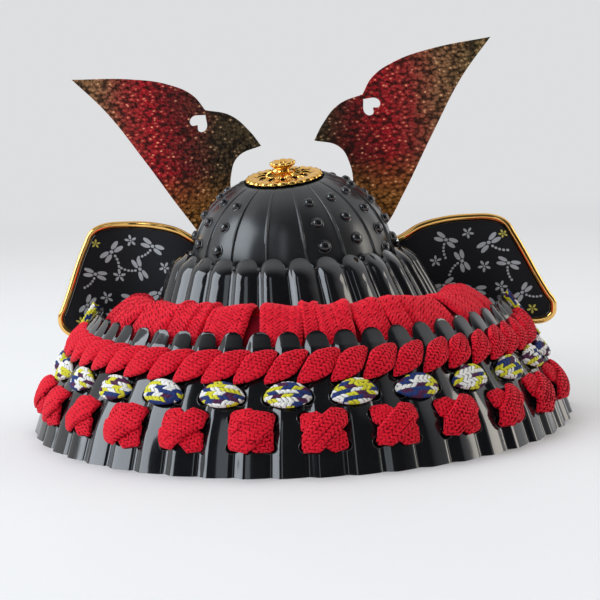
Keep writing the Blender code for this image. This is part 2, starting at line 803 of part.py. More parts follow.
def wing_rim(name, side):
    """A round gold bead round the wing's top, outer and lower edges, clear of the cloth's edge."""
    edge = [(out, top) for out, bottom, top in WING_OUTLINE]
    edge += [(out, bottom) for out, bottom, top in reversed(WING_OUTLINE) if out > RIM_START]
    spots = [
        Vector(
            (
                WING_INNER + (WING_OUTER - WING_INNER) * out,
                wing_depth(out),
                WING_BOTTOM + (WING_TOP - WING_BOTTOM) * up,
            )
        )
        for out, up in edge
    ]
    lift = RIM_RADIUS + GAP
    points = []
    for index, spot in enumerate(spots):
        before = spots[max(index - 1, 0)]
        after = spots[min(index + 1, len(spots) - 1)]
        along = (after - before).normalized()
        outwards = Vector((-along.z, 0, along.x)).normalized()
        moved = spot + outwards * lift
        points.append((side * moved.x, moved.y, moved.z))
    tube(name, points, RIM_RADIUS, "rim_gold")


def wings():
    for label, side in (("left", 1), ("right", -1)):
        wing(f"wing_{label}", side)
        wing_rim(f"wing_rim_{label}", side)


for old in list(bpy.data.objects):
    bpy.data.objects.remove(old)
parts = new_collection(OBJECT_NAME)
cutters = new_collection("cutters")
finishes = {name: new_finish(name) for name in FINISHES}

root_frame = new_frame("root_frame", (0, AXIS_PLACE, 0), (0, 0, 0))
crown_frame = new_frame(
    "crown_frame", (CROWN_SHIFT, 0, CROWN_LEVEL), (-CROWN_PITCH, CROWN_LEAN, 0), root_frame
)
horns_frame = new_frame(
    "horns_frame", (CROWN_SHIFT, -HORN_FORWARD, HORN_LEVEL), (0, CROWN_LEAN, 0), root_frame
)
bowl(crown_frame)
tehen(crown_frame)
visor(crown_frame)
horn_holder(horns_frame)
horn("horn_left", 1, horns_frame)
horn("horn_right", -1, horns_frame)
lames()
ties()
wings()
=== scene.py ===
"""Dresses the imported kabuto: smooth fluted lacquer, knitted braid, gilt ornament and printed cloth.
Shapes are worked out in millimetres round the neck guard's axis, and placed in the frame by place()."""

import math
import random

import bpy
import numpy as np
from mathutils import Euler, Matrix, Vector


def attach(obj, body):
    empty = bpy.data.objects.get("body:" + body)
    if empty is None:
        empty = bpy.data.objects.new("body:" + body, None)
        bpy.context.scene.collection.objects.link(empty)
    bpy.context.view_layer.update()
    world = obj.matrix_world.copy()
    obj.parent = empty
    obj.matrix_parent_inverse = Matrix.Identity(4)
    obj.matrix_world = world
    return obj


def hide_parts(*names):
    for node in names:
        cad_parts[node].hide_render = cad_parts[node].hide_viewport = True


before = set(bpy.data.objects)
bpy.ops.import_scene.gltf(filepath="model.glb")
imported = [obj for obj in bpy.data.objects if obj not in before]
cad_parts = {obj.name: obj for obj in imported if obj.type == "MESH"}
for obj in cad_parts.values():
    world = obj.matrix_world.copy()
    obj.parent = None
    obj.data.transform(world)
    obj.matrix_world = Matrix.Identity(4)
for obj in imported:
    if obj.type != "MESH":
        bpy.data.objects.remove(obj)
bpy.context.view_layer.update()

# Sizes in millimetres and radians. They are part.py's, apart from the heart hole, the wings' outer corners
# and the fullness of the braids.
MM = 0.001
SIDES = (("left", 1), ("right", -1))
AXIS_Y = -20.085

# Crown and bowl
CROWN_LEVEL = 45.0
CROWN_SHIFT = 1.1
CROWN_PITCH = math.radians(10)
CROWN_LEAN = math.radians(3.5)
LEAN_PIVOT = 27.0
BOWL_RADIUS = 31.0
BOWL_RISE = 30.2
BOWL_POWER = 2.2
BOWL_SKIRT = 8.0
BOWL_WALL = 1.1
TOP_RADIUS = 11.8
PANELS = 16
RIB_HEIGHT = 0.62
RIB_HALF = 0.34
PANEL_SWELL = 0.3
RIVET_LEVELS = (0.24, 0.46, 0.68, 0.86)
LOW_RIVETS = 0.06  # level of the row that the upper lame half hides
BARE_PANELS = (0, 1)

# Lames
LAME_WALL = 1.0
FLUTE_DEPTH = 1.2
UPPER_FLUTES = 16
UPPER_PITCH = math.radians(207) / UPPER_FLUTES
UPPER_FLUTE_DEPTH = 1.6
UPPER_TOP = 51.4
UPPER_BOTTOM = 36.5
UPPER_TOP_RADIUS = 31.8
UPPER_BOTTOM_RADIUS = 41.6
UPPER_FINGER = 2.5
UPPER_CURVE = ((0.0, 1.0), (0.5, 0.66), (0.82, 0.38), (1.0, 0.0))
LOWER_FLUTES = 27
LOWER_PITCH = math.radians(360 / 52)
LOWER_HEIGHT = 34.5
LOWER_TOP_RADIUS = 61.4
HEM_RADIUS = 81.5
HEAD_DEPTH = 3.0
LOWER_CURVE = ((0.0, 1.0), (0.33, 0.776), (0.62, 0.45), (1.0, 0.0))

# Braid
TIE_PITCH = 2 * LOWER_PITCH
KNOTS = 13
CROSSES = 12
SLOPE_RISE = 0.78  # how far a millimetre up the lower lame's slope rises
ROPE_LEVEL = 26.3
KNOT_LEVEL = 19.3
CROSS_LEVEL = 11.2

# Horns
HORN_FORWARD = 34.62
HORN_LEVEL = 42.0
HORN_SPAN = 69.0
HORN_HEIGHT = 68.5
HORN_HALF = 0.5
STEM_WIDTH = 6.8
STEM_TURN = math.radians(36)
STEM_PLACE = (18.7, 4.3)
SOCKET_LENGTH = 8.5

# Wings
WING_INNER = 33.2
WING_OUTER = 78.2
WING_BOTTOM = 26.2
WING_TOP = 58.8
WING_BACK = -9.21
WING_SWEEP = -4.5
WING_HALF_WALL = 0.7

LOWER_SPAN = LOWER_FLUTES * LOWER_PITCH
UPPER_SHIFT = (UPPER_TOP - LEAN_PIVOT) * math.tan(CROWN_LEAN)
dice = random.Random(7)


def leaning(shift, pitch):
    """The frame of a piece that leans with the crown."""
    return Matrix.Translation(shift) @ Euler((pitch, CROWN_LEAN, 0)).to_matrix().to_4x4()


CROWN = leaning((CROWN_SHIFT, 0, CROWN_LEVEL), -CROWN_PITCH)
HORNS = leaning((CROWN_SHIFT, -HORN_FORWARD, HORN_LEVEL), 0)


# Meshes


def place(points, matrix=None):
    """Millimetres round the axis, or in a frame of its own, to metres in the shared frame."""
    points = np.asarray(points, float)
    if matrix is not None:
        m = np.array(matrix)
        points = points @ m[:3, :3].T + m[:3, 3]
    return (points + (0, AXIS_Y, 0)) * MM


def run_length(path):
    """Distances along a path from its start."""
    return np.concatenate([[0], np.cumsum(np.linalg.norm(np.diff(path, axis=0), axis=1))])


def unit(v):
    return v / np.maximum(np.linalg.norm(v, axis=-1, keepdims=True), 1e-9)


def grid_chunk(grid, wall=0.0, closed=False, flip=False, slot=0):
    """A sheet over a grid of points [row, column], with an inner side when it has a wall.

    A chunk is its points, its faces, a material index for each face and a UV for each point."""
    rows, columns = grid.shape[:2]
    if closed:
        du = np.roll(grid, -1, 1) - np.roll(grid, 1, 1)
    else:
        du = np.gradient(grid, axis=1)
    normal = unit(np.cross(du, np.gradient(grid, axis=0))) * (-1 if flip else 1)
    index = np.arange(rows * columns).reshape(rows, columns)
    if closed:
        index = np.concatenate([index, index[:, :1]], 1)
    a, b = index[:-1, :-1].ravel(), index[:-1, 1:].ravel()
    c, d = index[1:, 1:].ravel(), index[1:, :-1].ravel()
    quads = [np.stack([a, b, c, d], 1)]
    points = [grid.reshape(-1, 3)]
    slots = np.broadcast_to(slot, len(a))
    if wall:
        count = rows * columns
        points.append((grid - normal * wall).reshape(-1, 3))
        quads.append(quads[0][:, ::-1] + count)
        edges = [(index[0, 1:], index[0, :-1]), (index[-1, :-1], index[-1, 1:])]
        if not closed:
            edges += [(index[:-1, 0], index[1:, 0]), (index[1:, -1], index[:-1, -1])]
        for p, q in edges:
            quads.append(np.stack([p, q, q + count, p + count], 1))
    faces = np.concatenate(quads)
    if flip:
        faces = faces[:, ::-1]
    slots = np.concatenate([slots, np.zeros(len(faces) - len(slots), int)])
    v, u = np.mgrid[0 : 1 : rows * 1j, 0 : 1 : columns * 1j]
    uv = np.tile(np.stack([u, v], -1).reshape(-1, 2), (len(points), 1))
    return np.concatenate(points), faces, slots, uv


def new_object(name, data):
    """An object for the data, linked into the scene."""
    obj = bpy.data.objects.new(name, data)
    bpy.context.scene.collection.objects.link(obj)
    return obj


def new_piece(name, chunks, materials, nodes=(), matrix=None, sharp=50):
    """One mesh piece from its chunks, with its slot and the CAD nodes it stands for."""
    base, points, faces, slots, uvs = 0, [], [], [], []
    for co, quads, index, uv in chunks:
        points.append(co)
        faces.append(quads + base)
        slots.append(index)
        uvs.append(uv)
        base += len(co)
    mesh = bpy.data.meshes.new(name)
    faces = np.concatenate(faces)
    mesh.from_pydata(place(np.concatenate(points), matrix).tolist(), [], faces.tolist())
    layer = mesh.uv_layers.new(name="uv")
    layer.data.foreach_set("uv", np.concatenate(uvs)[faces.ravel()].ravel().astype(np.float32))
    mesh.polygons.foreach_set("material_index", np.concatenate(slots).astype(np.int32))
    mesh.shade_smooth()
    mesh.set_sharp_from_angle(angle=math.radians(sharp))
    for material in materials:
        mesh.materials.append(material)
    obj = new_object(name, mesh)
    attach(obj, "root")
    if nodes:
        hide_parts(*nodes)
    return obj


def curve_value(table, x, column=1):
    """A column of a table read along a smooth curve through its rows."""
    rows = np.array(table, float)
    xs, ys = rows[:, 0], rows[:, column]
    step = np.diff(xs)
    slope = np.diff(ys) / step
    inner = np.where(slope[:-1] * slope[1:] > 0, (slope[:-1] + slope[1:]) / 2, 0)
    ease = np.concatenate([slope[:1], inner, slope[-1:]])
    x = np.clip(x, xs[0], xs[-1])
    i = np.clip(np.searchsorted(xs, x) - 1, 0, len(xs) - 2)
    h = step[i]
    t = (x - xs[i]) / h
    return (
        ys[i] * (2 * t**3 - 3 * t**2 + 1)
        + ease[i] * h * (t**3 - 2 * t**2 + t)
        + ys[i + 1] * (3 * t**2 - 2 * t**3)
        + ease[i + 1] * h * (t**3 - t**2)
    )


def full_turn(count):
    """Evenly spaced angles round a circle."""
    return np.linspace(0, math.tau, count, endpoint=False)


def around(angle, radius, height):
    """Points at angles from the back towards +X."""
    angle, radius, height = np.broadcast_arrays(angle, radius, height)
    return np.stack([radius * np.sin(angle), radius * np.cos(angle), height], -1)


def frames(centre, out):
    """Across and out directions along a path, square to it."""
    along = unit(np.gradient(centre, axis=0))
    out = unit(out - along * (along * out).sum(-1, keepdims=True))
    return np.cross(along, out), out


def lathe_chunk(profile, segments, wave=None, slot=0):
    """A turned shape from (radius, height) pairs, which wave(angle, radius, height) may change."""
    turn = full_turn(segments)
    profile = np.asarray(profile, float)
    radius = np.repeat(profile[:, :1], segments, 1)
    height = np.repeat(profile[:, 1:], segments, 1)
    if wave:
        radius, height = wave(turn[None, :], radius, height)
    grid = np.stack([radius * np.cos(turn), radius * np.sin(turn), height], -1)
    return grid_chunk(grid, closed=True, slot=slot)


def moved(chunk, matrix):
    """A copy of a chunk with its points moved."""
    co, faces, slots, uv = chunk
    m = np.array(matrix)
    return co @ m[:3, :3].T + m[:3, 3], faces, slots, uv


# Materials


def node(tree, kind, **values):
    """A new shader node, with its properties or else its inputs set by name."""
    made = tree.nodes.new(kind)
    for key, value in values.items():
        if hasattr(made, key):
            setattr(made, key, value)
        else:
            made.inputs[key.replace("_", " ")].default_value = value
    return made


def levels_of(tree, value, low, high, top=1.0, bottom=0.0, **kind):
    """A value mapped from low and high onto bottom and top."""
    levels = node(tree, "ShaderNodeMapRange", **kind)
    for key, number in (("From Min", low), ("From Max", high), ("To Min", bottom), ("To Max", top)):
        levels.inputs[key].default_value = number
    tree.links.new(value, levels.inputs["Value"])
    return levels.outputs["Result"]


def finish(name, colour, rough, metal=0.0, vary=0.15, scale=300, bump=0.1, grain=2500, depth=0.00005,
           rough_vary=0.05, texture="ShaderNodeTexNoise", **sockets):
    """A Principled material whose colour, roughness and height change with two noises."""
    made = bpy.data.materials.new(name)
    made.use_nodes = True
    tree = made.node_tree
    shader = tree.nodes["Principled BSDF"]
    link = tree.links.new
    place_of = node(tree, "ShaderNodeTexCoord").outputs["Object"]
    broad = node(tree, "ShaderNodeTexNoise", Scale=scale, Detail=4.0)
    link(place_of, broad.inputs["Vector"])
    mix = node(tree, "ShaderNodeMix", data_type="RGBA")
    mix.inputs["A"].default_value = (*[c * (1 - vary) for c in colour], 1)
    mix.inputs["B"].default_value = (*[min(c * (1 + vary), 1) for c in colour], 1)
    link(broad.outputs["Fac"], mix.inputs["Factor"])
    link(mix.outputs["Result"], shader.inputs["Base Color"])
    levels = levels_of(tree, broad.outputs["Fac"], 0, 1, rough + rough_vary, max(rough - rough_vary, 0.02))
    link(levels, shader.inputs["Roughness"])
    shader.inputs["Metallic"].default_value = metal
    for key, value in sockets.items():
        shader.inputs[key.replace("_", " ")].default_value = value
    fine = node(tree, texture, Scale=grain)
    link(place_of, fine.inputs["Vector"])
    relief = node(tree, "ShaderNodeBump", Strength=bump, Distance=depth)
    link(fine.outputs["Distance" if texture == "ShaderNodeTexVoronoi" else "Fac"], relief.inputs["Height"])
    link(relief.outputs["Normal"], shader.inputs["Normal"])
    return made


satin_black = finish("satin_black", (0.012, 0.0125, 0.014), 0.3, vary=0.3, bump=0.15,
                     Coat_Weight=0.4, Coat_Roughness=0.24)
gloss_black = finish("gloss_black", (0.006, 0.0065, 0.008), 0.1, vary=0.3, scale=120, bump=0.04, grain=900,
                     rough_vary=0.03, Coat_Weight=0.5, Coat_Roughness=0.05)
# painted shade: the black seen inside lacing holes, in the top ornament's openings and under its plate
painted_hole_shade = finish("painted_hole_shade", (0.001, 0.001, 0.001), 0.9, vary=0.2, bump=0.0, Specular_IOR_Level=0.05)
gold = finish("gold", (0.95, 0.53, 0.13), 0.16, 1.0, vary=0.12, scale=500, bump=0.3, grain=1800, depth=0.0001)
rim_gold = finish("rim_gold", (0.94, 0.55, 0.16), 0.14, 1.0, vary=0.08, scale=90, bump=0.06)
THREAD_GRAIN = {"scale": 1400, "grain": 5200}
red = finish("red_thread", (0.72, 0.004, 0.022), 0.7, vary=0.3, bump=0.7, depth=0.00012, **THREAD_GRAIN,
             Sheen_Weight=0.06, Sheen_Roughness=0.5, Specular_IOR_Level=0.22)
# red_shadow is painted shade: the darker red of the gaps between stitches
red_shade = finish("red_shadow", (0.13, 0.001, 0.006), 0.9, vary=0.3, bump=0.3, depth=0.0001, **THREAD_GRAIN,
                  Specular_IOR_Level=0.1)
THREADS = {
    "white_thread": (0.8, 0.79, 0.76),
    "yellow_thread": (0.66, 0.62, 0.03),
    "navy_thread": (0.012, 0.035, 0.17),
    "purple_thread": (0.075, 0.012, 0.06),
}
threads = [
    finish(name, colour, 0.7, vary=0.15, bump=0.5, depth=0.0001, **THREAD_GRAIN, Specular_IOR_Level=0.3)
    for name, colour in THREADS.items()
]
# thread_shadow is painted shade: the dark gaps between the knots' stitches
threads.append(
    finish("thread_shadow", (0.03, 0.028, 0.035), 0.9, vary=0.3, bump=0.3, depth=0.0001, **THREAD_GRAIN)
)
cloth_black = finish("cloth_black", (0.006, 0.007, 0.009), 0.75, vary=0.4, scale=2500, bump=0.5, grain=4200,
                     depth=0.00008, Specular_IOR_Level=0.3)
print_white, print_yellow = (
    finish(name, colour, 0.7, vary=0.3, scale=2600, bump=0.4, grain=4200)
    for name, colour in (("print_white", (0.36, 0.38, 0.4)), ("print_yellow", (0.5, 0.45, 0.08)))
)


# share of the way out from the throat to the tip, and the colour of the painted reflection there
HORN_REFLECTION_COLOURS = (
    (0.0, (0.1, 0.075, 0.035)), (0.34, (0.075, 0.045, 0.022)), (0.47, (0.2, 0.016, 0.018)),
    (0.6, (0.5, 0.014, 0.024)), (0.72, (0.4, 0.04, 0.035)), (0.84, (0.34, 0.15, 0.07)),
    (1.0, (0.22, 0.14, 0.055)),
)
HORN_REACH = 0.075  # metres from the middle to the last colour
HORN_MIDDLE = 0.0055
HORN_FOOT_COLOUR = (0.5, 0.22, 0.045)
HORN_GLINT_COLOUR = (0.8, 0.52, 0.27)
HORN_CREVICE_SHADE = (0.012, 0.008, 0.005)


def build_horn_painted_light():
    """Embossed gilt, with a painted reflection of red half way up the blade and of brown at its throat and tip,
    painted glints on its marks and painted shade in the crevices between them.
    """
    made = finish("horn_gilt", (0.9, 0.62, 0.25), 0.34, 0.75, vary=0.15, scale=160, bump=0.9, grain=1000,
                  depth=0.0003, texture="ShaderNodeTexVoronoi")
    tree = made.node_tree
    link = tree.links.new
    shader = tree.nodes["Principled BSDF"]
    coords = node(tree, "ShaderNodeTexCoord").outputs["Object"]

    def blend(low, high, share, kind="MIX"):
        mix = node(tree, "ShaderNodeMix", data_type="RGBA", blend_type=kind)
        for key, colour in (("A", low), ("B", high)):
            if isinstance(colour, tuple):
                mix.inputs[key].default_value = (*colour, 1)
            else:
                link(colour, mix.inputs[key])
        link(share, mix.inputs["Factor"])
        return mix.outputs["Result"]

    axes = node(tree, "ShaderNodeSeparateXYZ")
    link(coords, axes.inputs["Vector"])
    wobble = node(tree, "ShaderNodeTexNoise", Scale=60.0, Detail=3.0)
    link(coords, wobble.inputs["Vector"])
    off = node(tree, "ShaderNodeMath", operation="SUBTRACT")
    link(axes.outputs["X"], off.inputs[0])
    off.inputs[1].default_value = HORN_MIDDLE
    side = node(tree, "ShaderNodeMath", operation="ABSOLUTE")
    link(off.outputs[0], side.inputs[0])
    shake = node(tree, "ShaderNodeMath", operation="MULTIPLY_ADD")
    link(wobble.outputs["Fac"], shake.inputs[0])
    shake.inputs[1].default_value = 0.014
    link(side.outputs[0], shake.inputs[2])
    # the ramp is a painted reflection along the blade: red half way up, brown at the throat and tip
    ramp = node(tree, "ShaderNodeValToRGB")
    while len(ramp.color_ramp.elements) < len(HORN_REFLECTION_COLOURS):
        ramp.color_ramp.elements.new(0.5)
    for element, (at, colour) in zip(ramp.color_ramp.elements, HORN_REFLECTION_COLOURS):
        element.position = at
        element.color = (*colour, 1)
    link(levels_of(tree, shake.outputs[0], 0.0, HORN_REACH), ramp.inputs["Fac"])
    foot = blend(ramp.outputs["Color"], HORN_FOOT_COLOUR, levels_of(tree, axes.outputs["Y"], 0.034, 0.02, 0.85))
    stretch = node(tree, "ShaderNodeMapping")
    stretch.inputs["Scale"].default_value = (560, 900, 560)
    stretch.inputs["Rotation"].default_value = (0, 0, 0.35)
    link(coords, stretch.inputs["Vector"])
    # bright embossed marks: painted glints added to the colour
    marks = node(tree, "ShaderNodeTexVoronoi", Scale=1.0)
    link(stretch.outputs["Vector"], marks.inputs["Vector"])
    patches = node(tree, "ShaderNodeTexNoise", Scale=420.0, Detail=2.0)
    link(coords, patches.inputs["Vector"])
    glint_share = node(tree, "ShaderNodeMath", operation="MULTIPLY")
    link(levels_of(tree, marks.outputs["Distance"], 0.3, 0.1), glint_share.inputs[0])
    link(levels_of(tree, patches.outputs["Fac"], 0.42, 0.62), glint_share.inputs[1])
    glinted = blend(foot, HORN_GLINT_COLOUR, glint_share.outputs[0], "ADD")
    # painted shade darkens the crevices between the marks
    crevice_shaded = blend(glinted, HORN_CREVICE_SHADE, levels_of(tree, marks.outputs["Distance"], 0.42, 0.72, 0.85))
    link(crevice_shaded, shader.inputs["Base Color"])
    return made


horn_gilt = build_horn_painted_light()

# Bowl


def dome_radius(height):
    """The bowl's radius at a height over its widest level."""
    height = np.maximum(height, 0)
    return BOWL_RADIUS * np.maximum(1 - (height / BOWL_RISE) ** BOWL_POWER, 0) ** (1 / BOWL_POWER)


TOP_LEVEL = BOWL_RISE * (1 - (TOP_RADIUS / BOWL_RADIUS) ** BOWL_POWER) ** (1 / BOWL_POWER)
# shares of a panel's width where the mesh has columns
PANEL_STOPS = (0, 0.009, 0.018, 0.028, 0.042, 0.08, 0.15, 0.25, 0.38, 0.5, 0.62, 0.75, 0.85, 0.92, 0.958, 0.972,
               0.982, 0.991)
# a stud and the ring round its foot, as radius and height
STUD = ((1.6, -0.5), (1.6, 0.02), (1.5, 0.1), (1.36, 0.12), (1.3, 0.35), (1.18, 0.62), (1.0, 0.84), (0.72, 1.02),
        (0.38, 1.1), (0.0, 1.12))
STUD_SIZE = 1.5
STUD_SHRINK = 0.32  # share of its size that a stud at the top has lost


def bowl():
    """The ribbed dome, closed inwards under the ornament, with studs down its panels."""
    share = np.array([n + stop + 0.5 for n in range(PANELS) for stop in PANEL_STOPS])
    angle = share * math.tau / PANELS
    turn = np.linspace(0, math.atan2(TOP_LEVEL / BOWL_RISE, TOP_RADIUS / BOWL_RADIUS), 34)
    height = np.concatenate([np.linspace(-BOWL_SKIRT, -0.4, 7), BOWL_RISE * np.sin(turn)])[:, None]
    radius = dome_radius(height)
    local = (share - 0.5) % 1
    away = np.minimum(local, 1 - local) * math.tau / PANELS * BOWL_RADIUS
    rib = RIB_HEIGHT * np.exp(-((away / RIB_HALF) ** 4)) * (0.4 + 0.6 * radius / BOWL_RADIUS)
    swell = PANEL_SWELL * np.sin(math.pi * local) ** 2 * (radius / BOWL_RADIUS)
    shell = around(angle[None, :], radius + rib + swell, height + 0 * angle)
    inwards = np.array([[TOP_RADIUS - 3.0], [TOP_RADIUS - 7.0]])
    top = around(angle[None, :], inwards, np.array([[TOP_LEVEL + 0.15]] * 2) + 0 * angle)
    chunks = [grid_chunk(np.concatenate([shell, top]), BOWL_WALL, closed=True, flip=True)]
    stud = lathe_chunk(STUD, 20, slot=1)
    for panel in range(PANELS):
        if panel in BARE_PANELS:
            continue
        for level in RIVET_LEVELS + (LOW_RIVETS,):
            high = TOP_LEVEL * level
            wide = float(dome_radius(high))
            out = (wide / BOWL_RADIUS) ** (BOWL_POWER - 1) / BOWL_RADIUS
            up = (high / BOWL_RISE) ** (BOWL_POWER - 1) / BOWL_RISE
            turn = panel * math.tau / PANELS
            normal = Vector(around(turn, out, up)).normalized()
            spot = Vector(around(turn, wide + PANEL_SWELL * wide / BOWL_RADIUS, high))
            turned = Vector((0, 0, 1)).rotation_difference(normal).to_matrix().to_4x4()
            scaled = Matrix.Scale(STUD_SIZE * (1 - STUD_SHRINK * level), 4)
            chunks.append(moved(stud, Matrix.Translation(spot) @ turned @ scaled))
    new_piece("bowl_shell", chunks, [satin_black, gloss_black], ["bowl"], CROWN)


# Top ornament


ORNAMENT_LIFT = 0.35
PETALS = 12
# the cup on its stem, as radius and height over the plate
CUP = ((3.2, 0.9), (3.1, 1.5), (2.5, 1.75), (2.1, 2.0), (2.0, 2.5), (2.3, 2.8), (3.1, 3.2), (3.75, 3.7),
       (3.95, 4.2), (3.85, 4.6), (3.5, 4.78), (3.1, 4.7), (2.5, 4.3), (1.6, 4.1), (1.2, 4.2), (0.9, 4.6),
       (0.4, 4.8), (0.0, 4.85))


def tehen():
    """A plate with a scalloped rim, two rings of petals and a small lobed cup, whose openings and underside are
    painted black as shade rather than cut.
    """
    base = TOP_LEVEL + ORNAMENT_LIFT

    def plate(turn, radius, height):
        wave = np.cos(PETALS * turn)
        band = np.clip((radius - 8.3) / 3.5, 0, 1)
        rim = 0.9 * np.sqrt(np.clip(1 - (2 * band - 1) ** 4, 0, 1)) * (0.5 + 0.5 * np.abs(wave) ** 0.5)
        first = np.clip(1 - np.abs(radius - 6.6) / 2.6, 0, 1) ** 0.6 * (0.55 + 0.6 * np.abs(wave) ** 0.6)
        second = np.clip(1 - np.abs(radius - 3.8) / 2.4, 0, 1) ** 0.6
        second = second * (0.9 + 0.7 * np.abs(np.sin(PETALS / 2 * turn)) ** 0.7)
        veins = 0.12 * np.cos(PETALS * 5 * turn) * (radius < 8.0)
        top = np.maximum(np.maximum(rim, first), second + 0.35 * (radius < 5.6)) + veins
        side = radius > 11.95
        scallop = 1 - 0.035 * np.abs(np.sin(PETALS * turn)) ** 3 * (radius > 10.5)
        return np.where(side, 11.8, radius) * scallop, np.where(side, 0.0, np.maximum(top, 0.1)) + height

    reach = np.concatenate([[12.0], np.linspace(11.8, 0.4, 58)])
    profile = np.stack([reach, np.full(len(reach), base)], 1)
    segments = 288
    turn = (np.arange(segments) + 0.5) / segments * math.tau
    middle = (reach[1:] + reach[:-1]) / 2
    pit = np.abs(((turn * PETALS / math.tau + 0.5) % 1) - 0.5) * 2
    inside = (middle[:, None] > 5.6) & (middle[:, None] < 9.6)
    # the openings are not cut: their faces are painted black as shade
    opening = inside & (pit[None, :] < 0.62 * (9.6 - middle[:, None]) / 4)
    disc = lathe_chunk(profile, segments, plate, slot=opening.ravel().astype(int))
    # the plate's underside, painted black as shade
    edge = ((11.9, -0.02), (12.2, -0.3), (11.6, -0.7), (4.0, -0.7))
    under = lathe_chunk([(r, h + base) for r, h in edge], 96, slot=1)

    def cup(turn, radius, height):
        lobes = np.abs(np.cos(4 * turn)) ** 0.7
        share = np.clip((height - base - 2.6) / 1.6, 0, 1)
        return radius * (1 - 0.14 * share * (1 - lobes)), height + 0.2 * lobes * share**2

    chunks = [disc, under, lathe_chunk([(r, h + base) for r, h in CUP], 64, cup)]
    nodes = ["tehen_base", "tehen_petals", "tehen_knob"]
    new_piece("tehen_ornament", chunks, [gold, painted_hole_shade], nodes, CROWN)


# Lames

# share of the way across a flute, and share of its depth there
FLUTE = ((0.0, 0.0), (0.03, 0.1), (0.07, 0.32), (0.2, 0.5), (0.4, 0.78), (0.58, 0.97), (0.66, 1.0), (0.71, 0.95),
         (0.93, 0.06), (0.97, 0.0), (1.0, 0.0))
UPPER_FLUTE = ((0.0, 0.0), (0.05, 0.02), (0.12, 0.22), (0.25, 0.55), (0.42, 0.86), (0.58, 1.0), (0.7, 0.97),
               (0.78, 0.8), (0.9, 0.2), (0.95, 0.03), (1.0, 0.0))
# shares of a flute's width where the lower lame's mesh has columns
FLUTE_STOPS = (0, 0.02, 0.045, 0.07, 0.13, 0.25, 0.4, 0.53, 0.61, 0.65, 0.68, 0.71, 0.78, 0.86, 0.92, 0.95)


def upper_profile(height):
    share = (height - UPPER_BOTTOM) / (UPPER_TOP - UPPER_BOTTOM)
    return UPPER_TOP_RADIUS + (UPPER_BOTTOM_RADIUS - UPPER_TOP_RADIUS) * curve_value(UPPER_CURVE, share)


def lower_profile(height):
    return LOWER_TOP_RADIUS + (HEM_RADIUS - LOWER_TOP_RADIUS) * curve_value(LOWER_CURVE, height / LOWER_HEIGHT)


def flute(angle, pitch, count, section=FLUTE):
    return curve_value(section, (angle / pitch + count / 2) % 1)


def flute_columns(count, pitch, stops=FLUTE_STOPS):
    share = np.array([n + u for n in range(count) for u in stops] + [count - 1e-6])
    return share, (share - count / 2) * pitch


def rounded_top(share, drop, fill):
    """How far a flute's round top lies under its crown, when the round fills a share of its width."""
    across = np.clip((2 * (share % 1) - 1) / fill, -1, 1)
    return drop * (1 - np.sqrt(1 - across**2)) + drop * 0.25 * (np.abs(across) >= 1)


UPPER_TIP = 4.2  # height of the part with round fingers
UPPER_TIP_ROW = 0.6  # share of the mesh's rows that lie below it


def upper_lame():
    """The upright lame next to the bowl, whose flutes end in low round fingers."""
    share, angle = flute_columns(UPPER_FLUTES, UPPER_PITCH, np.arange(24) / 24)
    rows = np.linspace(0, 1, 46)[:, None]
    foot = UPPER_TOP - UPPER_TIP
    top = UPPER_TOP - rounded_top(share, UPPER_FINGER, 0.86)
    low = UPPER_BOTTOM + (foot - UPPER_BOTTOM) * rows / UPPER_TIP_ROW
    tip = np.clip((rows - UPPER_TIP_ROW) / (1 - UPPER_TIP_ROW), 0, 1)
    height = np.where(rows < UPPER_TIP_ROW, low, foot + (top - foot) * tip)
    section = flute(angle, UPPER_PITCH, UPPER_FLUTES, UPPER_FLUTE)
    lip = 0.3 * np.clip((tip - 0.7) / 0.3, 0, 1) ** 2
    depth = UPPER_FLUTE_DEPTH * section * (1 - 0.3 * tip**2) + lip
    grid = around(angle + 0 * rows, upper_profile(height) + depth, height)
    grid[..., 0] += UPPER_SHIFT * (height - UPPER_BOTTOM) / (UPPER_TOP - UPPER_BOTTOM)
    chunk = grid_chunk(grid, LAME_WALL, flip=True)
    new_piece("upper_lame_flutes", [chunk], [gloss_black], ["upper_lame"])


def lower_surface(angle, height):
    """The lower lame's outer face, flutes included."""
    fade = 1 - 0.45 * np.clip((height - 31) / 3, 0, 1)
    return lower_profile(height) + FLUTE_DEPTH * flute(angle, LOWER_PITCH, LOWER_FLUTES) * fade


def lower_lame():
    """The flared lame, whose flutes end in round scale heads."""
    share, angle = flute_columns(LOWER_FLUTES, LOWER_PITCH)
    rows = np.linspace(0, 1, 56)[:, None]
    foot = LOWER_HEIGHT - HEAD_DEPTH - 0.8
    top = LOWER_HEIGHT + 0.3 - rounded_top(share, HEAD_DEPTH, 0.84)
    height = np.where(rows < 0.72, foot * rows / 0.72, foot + (top - foot) * (rows - 0.72) / 0.28)
    grid = around(angle + 0 * rows, lower_surface(angle + 0 * rows, height), height)
    chunk = grid_chunk(grid, LAME_WALL, flip=True)
    chunk[0][:, 2] = np.maximum(chunk[0][:, 2], 0)
    new_piece("lower_lame_flutes", [chunk], [gloss_black], ["lower_lame"])


# Braid


def lame_place(angle, height, lift, bare=False):
    """A point on the lower lame, lifted square to its slope, and the outward direction there."""
    angle, height, lift = np.broadcast_arrays(*(np.asarray(value, float) for value in (angle, height, lift)))
    step = 0.4
    slope = (lower_profile(height + step) - lower_profile(height - step)) / (2 * step)
    size = np.sqrt(1 + slope**2)
    radius = (lower_surface(angle, height) if bare else lower_profile(height) + FLUTE_DEPTH) + lift / size
    out = unit(around(angle, 1 / size, -slope / size))
    return around(angle, radius, height - slope * lift / size), out


SECTION_POWER = 2.8
# stitch heights under this share are painted as shade in the gaps
DARK_SHARE = 0.36


